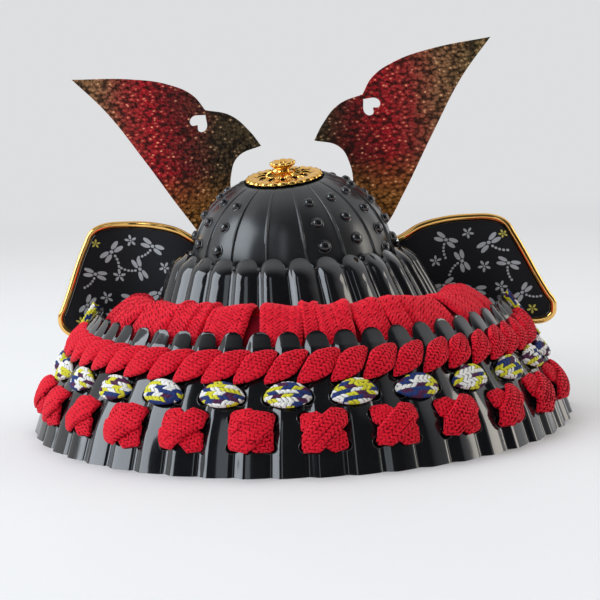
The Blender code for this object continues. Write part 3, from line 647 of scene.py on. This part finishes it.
def knit(across, along, wale=2.1, course=1.12, slope=0.85, groove=1.0):
    """Height from 0 to 1 of knitted V stitches, and the number of each stitch's arm and course."""
    column = across / wale
    local = column - np.floor(column)
    arm = (2 * local) % 1
    phase = (along - slope * np.abs(local - 0.5) * wale) / course
    round_across = np.sqrt(np.clip(1 - (2 * arm - 1) ** 2, 0, 1))
    height = (1 - groove * (1 - round_across**0.8)) * np.abs(np.sin(math.pi * phase)) ** 0.65
    return height, np.floor(2 * column).astype(int), np.floor(phase).astype(int)


def strap_chunk(centre, out, half_width, half_thick, columns=30, relief=0.42, colours=None, shift=0.0,
                dark=DARK_SHARE, **stitch):
    """A flat braid along a path: its section is a flattened ring, with knitted stitches on the outer side."""
    across, out = frames(centre, out)
    top = np.linspace(-1, 1, columns + 1)
    under = np.linspace(1, -1, 7)[1:-1]
    x = np.concatenate([top, under])
    lift = (1 - np.abs(x) ** SECTION_POWER) ** (1 / SECTION_POWER)
    lift[columns + 1 :] *= -1
    along = run_length(centre)
    half_width = np.broadcast_to(half_width, len(centre))[:, None]
    half_thick = np.broadcast_to(half_thick, len(centre))[:, None]
    stitches, arm, course = knit(x * half_width + shift, along[:, None] + 0 * x, **stitch)
    height = lift * half_thick + relief * stitches * np.clip(lift, 0, 1) ** 0.5 * np.clip(half_thick, 0, 1)
    grid = centre[:, None] + across[:, None] * (x * half_width)[..., None] + out[:, None] * height[..., None]
    # faces in the gaps between stitches take a darker slot: painted shade
    gap = stitches < dark
    slot = gap.astype(int) if colours is None else np.where(gap, len(THREADS), colours(arm, course))
    return grid_chunk(grid, closed=True, slot=slot[:-1].ravel())


def bulge(share, power):
    """Nothing at both ends and 1 in the middle."""
    return np.clip(np.sin(math.pi * share), 0, 1) ** power


def rope():
    """One leaning lens of braid over the foot of each scale head."""
    chunks = []
    share = np.linspace(0.004, 0.996, 60)
    for n in range(LOWER_FLUTES):
        middle = (n - (LOWER_FLUTES - 1) / 2) * LOWER_PITCH
        lean = dice.uniform(0.94, 1.1)
        swing = dice.uniform(-0.05, 0.05) * LOWER_PITCH
        angle = middle + swing + (0.68 - 1.36 * share - 0.1 * np.sin(math.tau * share)) * LOWER_PITCH * lean
        height = ROPE_LEVEL - 3.9 + 7.8 * share + 0.4 * np.sin(math.tau * share)
        lift = -0.35 + 1.7 * bulge(share, 0.5) + 1.1 * (0.5 - share)
        centre, out = lame_place(angle, height, lift)
        width = 3.45 * bulge(share, 0.6) * dice.uniform(0.94, 1.08)
        chunks.append(strap_chunk(centre, out, width, 1.2 * bulge(share, 0.35), shift=dice.uniform(0, 2.5)))
    new_piece("lacing_rope_braid", chunks, [red, red_shade], ["lacing_rope"])


# start and end in degrees, how far its top leans and how far it stands out, in millimetres
LOOPS = (
    (-93.0, -75.0, 0.5, 0.2),
    (-76.0, -53.5, -0.6, 0.6),
    (-54.5, -34.5, 0.8, 0.1),
    (-36.0, -28.5, -0.4, 0.9),
    (-30.0, -18.2, -0.5, 0.4),
    (-19.5, -7.2, -0.6, 0.7),
    (-9.0, -3.5, 0.0, -0.4),
    (-5.4, 9.4, 0.4, 0.5),
    (10.6, 26.2, -0.5, 0.6),
    (24.5, 30.5, 0.3, -0.3),
    (28.6, 37.4, 0.5, 0.5),
    (36.6, 55.5, -0.3, 0.2),
    (55.0, 73.5, 0.5, 0.5),
    (72.5, 93.0, -0.5, 0.3),
)
LOOP_PATH = ((0.0, 43.4, 35.2), (0.1, 43.7, 37.8), (0.2, 45.2, 39.4), (0.33, 48.2, 39.6), (0.5, 52.2, 37.9),
             (0.75, 57.2, 34.2), (1.0, 60.3, 29.8))
LOOPS_SIDE_DROP = 2.6
LOOP_STITCH = {"wale": 2.2, "course": 1.25, "slope": 1.05, "groove": 0.45}
# stitch heights under this share are painted as shade in the gaps
LOOP_DARK_SHARE = 0.4


def loops():
    """Ruffled flat braids that fold over behind the scale heads."""
    chunks = []
    share = np.linspace(0, 1, 76)
    for start, end, lean, stand in LOOPS:
        wide = math.radians(end - start)
        middle = math.radians((start + end) / 2)
        radius = curve_value(LOOP_PATH, share, 1)
        side = LOOPS_SIDE_DROP * (2 * middle / LOWER_SPAN) ** 2
        height = curve_value(LOOP_PATH, share, 2) - side * (1 - share) + 0.5 * (np.abs(wide) < 0.2)
        radius = radius + 0.35 * side * (1 - share)
        columns = max(int(wide * 50 / 0.29), 12)
        x = np.linspace(-1, 1, columns)
        taper = 1 - 0.3 * share[:, None] ** 1.5
        arch = 1 - 0.35 * np.abs(x) ** 4
        angle = middle + x * wide / 2 * taper
        crest = bulge(np.clip(share * 1.6, 0, 1), 1.0)[:, None]
        out = stand + 0.9 * arch * crest
        up = (lean * x + 0.75 * np.abs(x) ** 3 + 0.3 * np.sin(3.1 * x + middle * 7)) * crest
        along = run_length(np.stack([radius, height], 1))[:, None]
        stitches, _, _ = knit(x * wide * 25 + 0 * along, -along + 0 * x, **LOOP_STITCH)
        edge = np.clip((1 - np.abs(x)) * 5, 0, 1) ** 0.5
        point = around(angle, radius[:, None] + out, height[:, None] + up)
        normal = unit(np.cross(np.gradient(point, axis=1), np.gradient(point, axis=0)))
        point = point + normal * (0.5 * stitches * edge - 0.9 * (1 - edge))[..., None]
        # the gaps between stitches take the darker red: painted shade
        gap = (stitches < LOOP_DARK_SHARE)[:-1, :-1].astype(int).ravel()
        chunks.append(grid_chunk(point, 1.25, slot=gap))
    # a plain sheet under the braids in the shadow red: painted shade that fills the gaps between them
    angle = np.linspace(-1, 1, 200) * math.radians(92)
    side = LOOPS_SIDE_DROP * (2 * angle / LOWER_SPAN) ** 2
    share = np.linspace(0.42, 1, 20)[:, None]
    radius = curve_value(LOOP_PATH, share, 1) - 0.6 + 0.35 * side * (1 - share)
    under = around(angle + 0 * share, radius, curve_value(LOOP_PATH, share, 2) - side * (1 - share) - 1.5)
    chunks.append(grid_chunk(under, 0.4, slot=1))
    for chunk in chunks:
        chunk[0][:, 0] += UPPER_SHIFT * 0.3 * np.clip((chunk[0][:, 2] - 31) / 11, 0, 1)
    new_piece("lacing_loop_braids", chunks, [red, red_shade], ["lacing_loops"])


def tie_angles(count):
    """Angles of a row of ties that is centred on the back."""
    return [(n - (count - 1) / 2) * TIE_PITCH for n in range(count)]


def tie_path(angle, level, ends, lift, count=56, sag=0.0):
    """A path over the lower lame between two ends given across and up from the tie's middle."""
    (x0, y0), (x1, y1) = ends
    share = np.linspace(0, 1, count)
    x = x0 + (x1 - x0) * share
    y = y0 + (y1 - y0) * share + sag * np.sin(math.pi * share)
    height = level + y * SLOPE_RISE
    radius = lower_profile(height) + FLUTE_DEPTH
    return share, *lame_place(angle + x / radius, height, lift(share))


def crosses():
    """Two plump pointed straps across each other."""
    for n, angle in enumerate(tie_angles(CROSSES)):
        pad = dice.random()
        chunks = []
        reach = dice.uniform(5.5, 6.1)
        rise = dice.uniform(5.0, 5.6)
        tilt = dice.uniform(-0.6, 0.6)
        half = 4.0 if pad > 0.5 else 3.3
        for top, (x, y) in enumerate(((reach, rise + tilt), (reach, tilt - rise))):
            share, centre, out = tie_path(
                angle, CROSS_LEVEL, ((x, y), (-x, -y + tilt * 0.6)),
                lambda s, top=top: -0.9 + (1.35 + 1.5 * top) * bulge(s, 0.5) + 0.2 * np.sin(5 * s + n),
                sag=dice.uniform(-0.5, 0.5),
            )
            ends = np.minimum(share, 1 - share) * 2 * math.hypot(reach, rise)
            width = np.minimum(half, 0.5 + 1.1 * ends) * (1 + 0.06 * np.sin(7 * share + n))
            chunks.append(strap_chunk(centre, out, width, 1.05 * bulge(share, 0.25), shift=dice.uniform(0, 2.5)))
        new_piece(f"cross_braid_{n + 1:02d}", chunks, [red, red_shade], [f"cross_{n + 1:02d}"])


PATTERN = (0, 0, 0, 1, 1, 2, 2, 3, 0, 0, 1, 2, 3)  # which thread colours, and how often
STRANDS = 8
STITCHES = 16  # along a strand before its colours repeat


def thread_colours(twist):
    """Strands of a random colour, each showing for two stitches along the braid's slant."""
    strands = np.array([[dice.choice(PATTERN) for _ in range(STITCHES)] for _ in range(STRANDS)])

    def pick(arm, course):
        return strands[arm % STRANDS, (course + twist * arm) // 2 % STITCHES]

    return pick


def knots():
    """A short level strap of coloured strands."""
    for n, angle in enumerate(tie_angles(KNOTS)):
        tilt = dice.uniform(-0.5, 0.5)
        share, centre, out = tie_path(
            angle, KNOT_LEVEL, ((6.3, tilt), (-6.3, -tilt)),
            lambda s: -0.9 + 1.9 * bulge(s, 0.6), sag=dice.uniform(-0.3, 0.4), count=72,
        )
        width = 3.7 * bulge(share, 0.55)
        chunk = strap_chunk(
            centre, out, width, 1.15 * bulge(share, 0.4), columns=32, relief=0.4,
            colours=thread_colours(dice.choice((1, -1))), shift=dice.uniform(0, 2.0),
            wale=2.2, course=1.25, slope=0.9, dark=0.27,
        )
        new_piece(f"knot_braid_{n + 1:02d}", [chunk], threads, [f"knot_{n + 1:02d}"])


ROUND_STITCH = {"wale": 2.0, "course": 1.1, "slope": 0.7}


def round_braid(path, out, radius):
    """A round braid whose eight strands show as slanting stitches of four colours."""
    across, out = frames(path, out)
    columns = 32
    turn = full_turn(columns)
    along = run_length(path)[:, None]
    strand = turn / math.tau * STRANDS
    stitches, arm, course = knit(strand + 0 * along, along + 0 * turn, **ROUND_STITCH)
    reach = radius * (0.82 + 0.24 * stitches)
    sideways = across[:, None] * (np.cos(turn) * reach)[..., None]
    grid = path[:, None] + sideways + out[:, None] * (np.sin(turn) * reach)[..., None]
    slot = thread_colours(1)(arm, course)[:-1].ravel()
    return grid_chunk(grid, closed=True, flip=True, slot=slot)


EDGE_BRAID_TOP = 34.6
EDGE_BRAID_DROP = 14.1
EDGE_BRAID_RADIUS = 1.35


def edge_braids():
    for label, side in SIDES:
        share = np.linspace(0, 1, 110)
        height = EDGE_BRAID_TOP - EDGE_BRAID_DROP * share
        angle = side * (LOWER_SPAN / 2 - math.radians(1.6)) + 0 * share
        path, out = lame_place(angle, np.minimum(height, LOWER_HEIGHT), 1.4 + 0 * share)
        path[:, 2] += np.maximum(height - LOWER_HEIGHT, 0)
        chunk = round_braid(path, out, EDGE_BRAID_RADIUS)
        new_piece(f"edge_braid_{label}_strands", [chunk], threads, [f"edge_braid_{label}"])


# Lacing holes


def hole_chunks(angle, level, half_width, half_height, x=0.0, y=0.0):
    """A disc painted black as the shade inside a lacing hole, which follows the flutes, and its rounded lip."""
    turn = full_turn(28)
    height = level + y * SLOPE_RISE
    radius = lower_profile(height) + FLUTE_DEPTH
    middle = angle + x / radius

    def ring(share, lift):
        a = middle + share * half_width * np.cos(turn) / radius
        z = height + share * half_height * SLOPE_RISE * np.sin(turn)
        return lame_place(a, z, lift, bare=True)[0]

    disc = np.stack([ring(s, 0.06) for s in (0.02, 0.35, 0.7, 0.95)])
    lip = np.stack([ring(s, l) for s, l in ((0.93, 0.02), (0.95, 0.1), (1.0, 0.13), (1.05, 0.08), (1.09, -0.02))])
    return [grid_chunk(disc, closed=True, slot=1), grid_chunk(lip, closed=True)]


HOLES_ACROSS = (-5.0, 5.0)  # millimetres from a tie's middle
ROPE_HOLE_LEVEL = 22.9


def lace_holes():
    """Two holes beside each knot, four round each cross and a row under the rope, each a disc of painted shade
    inside a lip.
    """
    chunks = []
    for angle in tie_angles(KNOTS):
        for across in HOLES_ACROSS:
            chunks += hole_chunks(angle, KNOT_LEVEL, 2.0, 2.5, across, -0.4)
    for angle in tie_angles(CROSSES):
        for across in HOLES_ACROSS:
            for up in (-4.4, 4.4):
                chunks += hole_chunks(angle, CROSS_LEVEL, 1.9, 2.0, across, up - 0.5)
    for n in range(LOWER_FLUTES):
        chunks += hole_chunks((n - 12.5) * LOWER_PITCH, ROPE_HOLE_LEVEL, 1.9, 2.0)
    new_piece("lacing_hole_lips", chunks, [gloss_black, painted_hole_shade])


# Wings

# share out, and shares up of the lower and the upper edge there
WING_OUTLINE = (
    (0.0, 0.36, 0.83), (0.12, 0.16, 0.93), (0.28, 0.02, 0.985), (0.46, 0.0, 1.0), (0.62, 0.0, 0.99),
    (0.69, 0.0, 0.945), (0.74, 0.0, 0.83), (0.8, 0.0, 0.67), (0.9, 0.0, 0.38), (0.97, 0.02, 0.2),
    (1.0, 0.07, 0.13),
)
PRINT_LIFT = {1: 0.76, -1: -0.84}  # on the back and on the front face


def wing_place(side, out, up, lift=0.0):
    """A point of a wing from its shares out and up, lifted towards the back."""
    across = WING_INNER + (WING_OUTER - WING_INNER) * out + ((4.4 * up - 3.4) if side > 0 else -0.3) * out
    depth = WING_BACK + WING_SWEEP * np.sin(math.pi * out) ** 2 + lift
    level = WING_BOTTOM + (WING_TOP - WING_BOTTOM - (1.0 if side > 0 else 2.3)) * up
    return np.stack(np.broadcast_arrays(side * across, depth, level), -1)


def round_path(points, count):
    """A smooth path through the points, evenly spaced."""
    points = np.asarray(points, float)
    length = run_length(points)
    at = np.linspace(0, length[-1], count)
    return np.stack([curve_value(np.stack([length, points[:, k]], 1), at) for k in range(points.shape[1])], 1)


def motif_chunk(side, face, spots, slot):
    """Printed ovals: each is a centre out and across in millimetres, its two half sizes and its turn."""
    chunks = []
    turn = full_turn(18)
    for x, z, long, short, tilt in spots:
        u = x + long * np.cos(turn) * math.cos(tilt) - short * np.sin(turn) * math.sin(tilt)
        w = z + long * np.cos(turn) * math.sin(tilt) + short * np.sin(turn) * math.cos(tilt)
        rings = []
        for share in (0.02, 0.6, 1.0):
            a = (x + (u - x) * share - WING_INNER) / (WING_OUTER - WING_INNER)
            b = (z + (w - z) * share - WING_BOTTOM) / (WING_TOP - WING_BOTTOM)
            rings.append(wing_place(side, a, b, PRINT_LIFT[face]))
        chunks.append(grid_chunk(np.stack(rings), closed=True, flip=side * face > 0, slot=slot))
    return chunks


def oval(x, z, reach, angle, long, short, tilt):
    """A printed oval at a reach and an angle from a motif's middle."""
    return x + reach * math.cos(angle), z + reach * math.sin(angle), long, short, tilt


def dragonfly(x, z, tilt, size):
    """Four broad wings, a head and a dotted tail."""
    spots = [(x, z, 0.6 * size, 0.55 * size, 0)]
    for turn in (0.36, -0.36, math.pi - 0.36, math.pi + 0.36):
        lean = 0.45 * turn if abs(turn) < 1 else 0.45 * (turn - math.pi)
        spots.append(oval(x, z, 2.35 * size, tilt + turn, 1.6 * size, 0.68 * size, tilt + lean))
    for step in range(1, 6):
        angle = tilt + math.pi / 2 + 0.09 * step
        spots.append(oval(x, z, -(0.5 + 1.12 * step) * size, angle, 0.46 * size, 0.4 * size, angle))
    return spots


def flower(x, z, tilt, size):
    """Five petals round a dot."""
    spots = [(x, z, 0.35 * size, 0.35 * size, 0)]
    for petal in range(5):
        angle = tilt + petal * math.tau / 5
        spots.append(oval(x, z, 1.5 * size, angle, 0.95 * size, 0.5 * size, angle))
    return spots


# D for a dragonfly or F for a flower, millimetres out and up, turn in radians and size
MOTIFS = (
    ("D", 46.5, 53.0, 0.5, 1.0), ("F", 53.5, 55.0, 0.2, 0.8), ("D", 60.0, 51.5, -0.7, 1.05),
    ("F", 43.0, 46.0, 0.9, 0.8), ("D", 51.5, 45.5, 1.2, 1.0), ("D", 66.0, 44.5, 0.3, 0.95),
    ("F", 58.5, 43.5, 0.4, 0.85), ("D", 45.5, 37.5, -0.4, 1.0), ("D", 55.0, 35.5, 0.1, 1.05),
    ("F", 63.5, 36.5, 0.0, 0.85), ("D", 70.0, 34.5, -0.9, 0.95), ("F", 50.0, 30.0, 0.6, 0.8),
    ("D", 61.5, 29.5, 0.8, 0.9), ("F", 73.0, 29.0, 0.3, 0.7), ("F", 64.5, 54.5, 0.5, 0.6),
)
SMALL_FLOWER = 0.75  # flowers up to this size are yellow
# lift outwards, half width and half depth of the rim's bead and of the welt inside it
BEADS = ((1.4, 1.05, 1.1), (0.1, 0.3, 0.95))
RIM_START = (-0.03, 0.81)  # shares out and up where the rim tucks in next to the bowl


def wings():
    """Thin printed panels with a gold bead and a black welt round them."""
    for label, side in SIDES:
        out = 1 - (1.03 if side > 0 else 1.09) * (1 - np.linspace(0, 1, 72)) ** 1.25
        low, high = curve_value(WING_OUTLINE, out, 1), curve_value(WING_OUTLINE, out, 2)
        rows = np.linspace(0, 1, 30)[:, None]
        up = low + (high - low) * rows
        sheet = wing_place(side, out + 0 * rows, up, WING_HALF_WALL)
        chunks = [grid_chunk(sheet, 2 * WING_HALF_WALL, flip=side > 0)]
        prints, gilt_prints = [], []
        for kind, x, z, turn, size in MOTIFS:
            spots = (dragonfly if kind == "D" else flower)(x, z, turn * side, size)
            (prints if kind == "D" or size > SMALL_FLOWER else gilt_prints).extend(spots)
        for face in (-1, 1):
            chunks += motif_chunk(side, face, prints, 1) + motif_chunk(side, face, gilt_prints, 2)
        cloth = [cloth_black, print_white, print_yellow]
        new_piece(f"wing_cloth_{label}", chunks, cloth, [f"wing_{label}"], sharp=60)
        edge = [RIM_START] + [(o, top) for o, _, top in WING_OUTLINE]
        edge += [(o, bottom) for o, bottom, _ in reversed(WING_OUTLINE) if o > 0.25]
        path = round_path([wing_place(side, o, u) for o, u in edge], 260)
        along = unit(np.gradient(path, axis=0))
        outwards = unit(np.stack([-along[:, 2] * side, 0 * along[:, 0], along[:, 0] * side], 1))
        back = np.array([0.0, 1.0, 0.0])
        turn = full_turn(20)[:, None]
        beads = []
        for lift, wide, thick in BEADS:
            line = path + outwards * lift
            ring = line[:, None] + outwards[:, None] * np.cos(turn) * wide + back * np.sin(turn) * thick
            beads.append(grid_chunk(ring, closed=True, flip=side > 0))
        new_piece(f"wing_rim_{label}_bead", beads[:1], [rim_gold], [f"wing_rim_{label}"])
        new_piece(f"wing_welt_{label}", beads[1:], [gloss_black])


# Horns

# shares of the span and the height, and 1 for a corner
HORN_OUTLINE = (
    (0.282, 0.245, 0), (0.294, 0.365, 0), (0.286, 0.47, 0), (0.245, 0.553, 0), (0.128, 0.596, 1),
    (0.175, 0.67, 0), (0.26, 0.755, 0), (0.377, 0.792, 1), (0.43, 0.868, 0), (0.54, 0.93, 0),
    (0.71, 0.972, 0), (1.0, 1.0, 1), (0.852, 0.828, 0), (0.693, 0.577, 0), (0.528, 0.3, 0),
    (0.43, 0.155, 0),
)
HORN_BEVEL = 0.12
HEART_SIZE = 5.6
HEART_TURN = math.radians(-136)
HEART_PLACE = (0.409, 0.737)  # shares of the span and the height
HEART = ((0.0, 0.22, 1), (0.3, 0.45, 0), (0.55, 0.15, 0), (0.0, -0.55, 1), (-0.55, 0.15, 0), (-0.3, 0.45, 0))


def stem_corner(side, along, across):
    """A corner of the stem that stands in the socket, from its distances along and across it."""
    x = STEM_PLACE[0] + along * math.sin(STEM_TURN) + across * math.cos(STEM_TURN)
    return side * x, STEM_PLACE[1] + along * math.cos(STEM_TURN) - across * math.sin(STEM_TURN), 1


def horns():
    """Flat bevelled blades with a heart hole, cut from Bezier outlines."""
    foot, mouth, half = 2.0 - SOCKET_LENGTH / 2, SOCKET_LENGTH / 2, STEM_WIDTH / 2
    cosine, sine = HEART_SIZE * math.cos(HEART_TURN), HEART_SIZE * math.sin(HEART_TURN)
    for label, side in SIDES:
        blade = [(side * x * HORN_SPAN, y * HORN_HEIGHT, corner) for x, y, corner in HORN_OUTLINE]
        blade = [stem_corner(side, foot, -half), stem_corner(side, mouth, -half)] + blade
        blade += [stem_corner(side, mouth, half), stem_corner(side, foot, half)]
        heart = []
        for x, y, corner in HEART:
            px = HEART_PLACE[0] * HORN_SPAN + x * cosine - y * sine
            py = HEART_PLACE[1] * HORN_HEIGHT + x * sine + y * cosine
            heart.append((side * px, py, corner))
        curve = bpy.data.curves.new(f"horn_blade_{label}", "CURVE")
        curve.dimensions = "2D"
        curve.fill_mode = "BOTH"
        curve.extrude = (HORN_HALF - HORN_BEVEL) * MM
        curve.bevel_depth = HORN_BEVEL * MM
        curve.bevel_resolution = 2
        curve.offset = -HORN_BEVEL * MM
        curve.resolution_u = 24
        for points in (blade, heart):
            spline = curve.splines.new("BEZIER")
            spline.bezier_points.add(len(points) - 1)
            spline.use_cyclic_u = True
            for bezier, (x, y, corner) in zip(spline.bezier_points, points):
                bezier.co = (x * MM, y * MM, 0)
                bezier.handle_left_type = bezier.handle_right_type = "VECTOR" if corner else "AUTO"
        curve.materials.append(horn_gilt)
        obj = new_object(f"horn_blade_{label}", curve)
        base = HORNS.copy()
        base.translation = Vector(place([0, 0, 0], HORNS))
        obj.matrix_world = base @ Matrix.Rotation(math.pi / 2, 4, "X")
        bpy.context.view_layer.update()
        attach(obj, "root")
        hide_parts(f"horn_{label}")


# Front pieces that the photograph hides


def visor():
    """A plain peak under the bowl's front edge."""
    share = np.linspace(-1, 1, 90)
    rows = np.linspace(0, 1, 16)[:, None]
    angle = math.pi + share * math.radians(62)
    out = (1 - rows) * np.maximum(1 - share**4, 0.25)
    radius = BOWL_RADIUS - BOWL_WALL + 10.5 * out
    grid = around(angle + 0 * rows, radius, 7.5 * (1 - out**1.5) - 15.8)
    new_piece("visor_shell", [grid_chunk(grid, 1.0, flip=True)], [gloss_black], ["visor"], CROWN)


bowl()
tehen()
upper_lame()
lower_lame()
rope()
loops()
crosses()
knots()
edge_braids()
lace_holes()
wings()
horns()
visor()
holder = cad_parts["horn_holder"]
holder.data.materials.clear()
holder.data.materials.append(gold)

# Floor, light and camera

BACKDROP = (0.73, 0.735, 0.745)
DAYLIGHT = (0.84, 0.92, 1.0)


def mix_shaders(tree, share, first, second, output):
    """Sends a mix of two shaders to the tree's output."""
    mix = node(tree, "ShaderNodeMixShader")
    for source, socket in ((share, "Fac"), (first, 1), (second, 2)):
        tree.links.new(source, mix.inputs[socket])
    tree.links.new(mix.outputs["Shader"], tree.nodes[output].inputs["Surface"])


def floor():
    """A pale paper disc that fades into the backdrop away from the helmet."""
    bpy.ops.mesh.primitive_circle_add(vertices=96, radius=6, fill_type="NGON")
    made = bpy.context.object
    made.name = "floor"
    paper = finish("floor_paper", (0.74, 0.74, 0.745), 0.6, vary=0.02, scale=12, bump=0.02, grain=400)
    tree = paper.node_tree
    link = tree.links.new
    size = node(tree, "ShaderNodeVectorMath", operation="LENGTH")
    link(node(tree, "ShaderNodeTexCoord").outputs["Object"], size.inputs[0])
    share = levels_of(tree, size.outputs["Value"], 0.2, 1.1, interpolation_type="SMOOTHSTEP")
    far = node(tree, "ShaderNodeEmission")
    far.inputs["Color"].default_value = (*BACKDROP, 1)
    near = tree.nodes["Principled BSDF"].outputs["BSDF"]
    mix_shaders(tree, share, near, far.outputs["Emission"], "Material Output")
    made.data.materials.append(paper)


def area_light(name, spot, size, power, colour=(1, 1, 1), aim=(0, 0, 0.04)):
    """A rectangular light at a spot in metres, turned to its aim."""
    light = bpy.data.lights.new(name, "AREA")
    light.shape = "RECTANGLE"
    light.size, light.size_y = size
    light.energy = power
    light.color = colour
    obj = new_object(name, light)
    obj.location = spot
    obj.rotation_euler = (Vector(aim) - Vector(spot)).to_track_quat("-Z", "Y").to_euler()
    return obj


CAMERA_DISTANCE = 430.0
CAMERA_HEIGHT = 91.6
CAMERA_PITCH = math.radians(7.5)
CAMERA_ROLL = math.radians(2.2)
CAMERA_TURN = math.radians(3)
PHOTO_SIDE = 600  # pixels
FOCAL_PIXELS = 1400.0
AXIS_PIXEL = 299.0  # column where the photograph shows the helmet's axis


def camera():
    """The photograph's camera, behind the helmet and a little above it."""
    pitch, roll, turn = CAMERA_PITCH, CAMERA_ROLL, CAMERA_TURN
    away = Vector((-math.sin(turn), math.cos(turn), 0))
    right = Vector((-math.cos(turn), -math.sin(turn), 0))
    forward = -away * math.cos(pitch) - Vector((0, 0, math.sin(pitch)))
    up = -away * math.sin(pitch) + Vector((0, 0, math.cos(pitch)))
    right, up = right * math.cos(roll) - up * math.sin(roll), up * math.cos(roll) + right * math.sin(roll)
    aside = (AXIS_PIXEL - PHOTO_SIDE / 2) / FOCAL_PIXELS * CAMERA_DISTANCE
    spot = away * CAMERA_DISTANCE + Vector((0, AXIS_Y, CAMERA_HEIGHT)) - right * aside
    data = bpy.data.cameras.new("camera")
    data.sensor_width = 36
    data.lens = data.sensor_width * FOCAL_PIXELS / PHOTO_SIDE
    data.clip_start = 0.01
    obj = new_object("camera", data)
    obj.matrix_world = Matrix.Translation(spot * MM) @ Matrix((right, up, -forward)).transposed().to_4x4()
    bpy.context.scene.camera = obj


floor()
camera()
area_light("window", (0.92, 0.36, 0.6), (0.8, 0.8), 9.5, DAYLIGHT)
area_light("strip", (0.24, 1.15, 0.72), (0.26, 0.9), 0.9, DAYLIGHT)
overhead = area_light("overhead", (0.1, -0.45, 1.0), (1.0, 0.7), 4.5)
overhead.visible_glossy = False
fill = area_light("fill", (0.1, 1.2, 0.75), (0.8, 0.6), 4.5, (1.0, 0.98, 0.95))
fill.visible_glossy = False
area_light("side", (-1.0, -0.15, 0.35), (0.3, 0.5), 1.6, (1.0, 0.93, 0.82), aim=(0, 0, 0.05))


def surroundings():
    """A pale studio, with the dim side of the room where the lacquer's broad faces look."""
    world = bpy.data.worlds.new("studio")
    bpy.context.scene.world = world
    world.use_nodes = True
    tree = world.node_tree
    link = tree.links.new
    shown = tree.nodes["Background"]
    shown.inputs["Color"].default_value = (*BACKDROP, 1)
    axes = node(tree, "ShaderNodeSeparateXYZ")
    link(node(tree, "ShaderNodeTexCoord").outputs["Generated"], axes.inputs["Vector"])
    share = levels_of(tree, axes.outputs["Y"], -0.1, 0.45, top=0.05, bottom=0.75)
    cast = node(tree, "ShaderNodeBackground")
    cast.inputs["Color"].default_value = (0.97, 0.98, 1.0, 1)
    link(share, cast.inputs["Strength"])
    seen = node(tree, "ShaderNodeLightPath").outputs["Is Camera Ray"]
    mix_shaders(tree, seen, cast.outputs["Background"], shown.outputs["Background"], "World Output")


surroundings()
bpy.context.scene.view_settings.view_transform = "Standard"
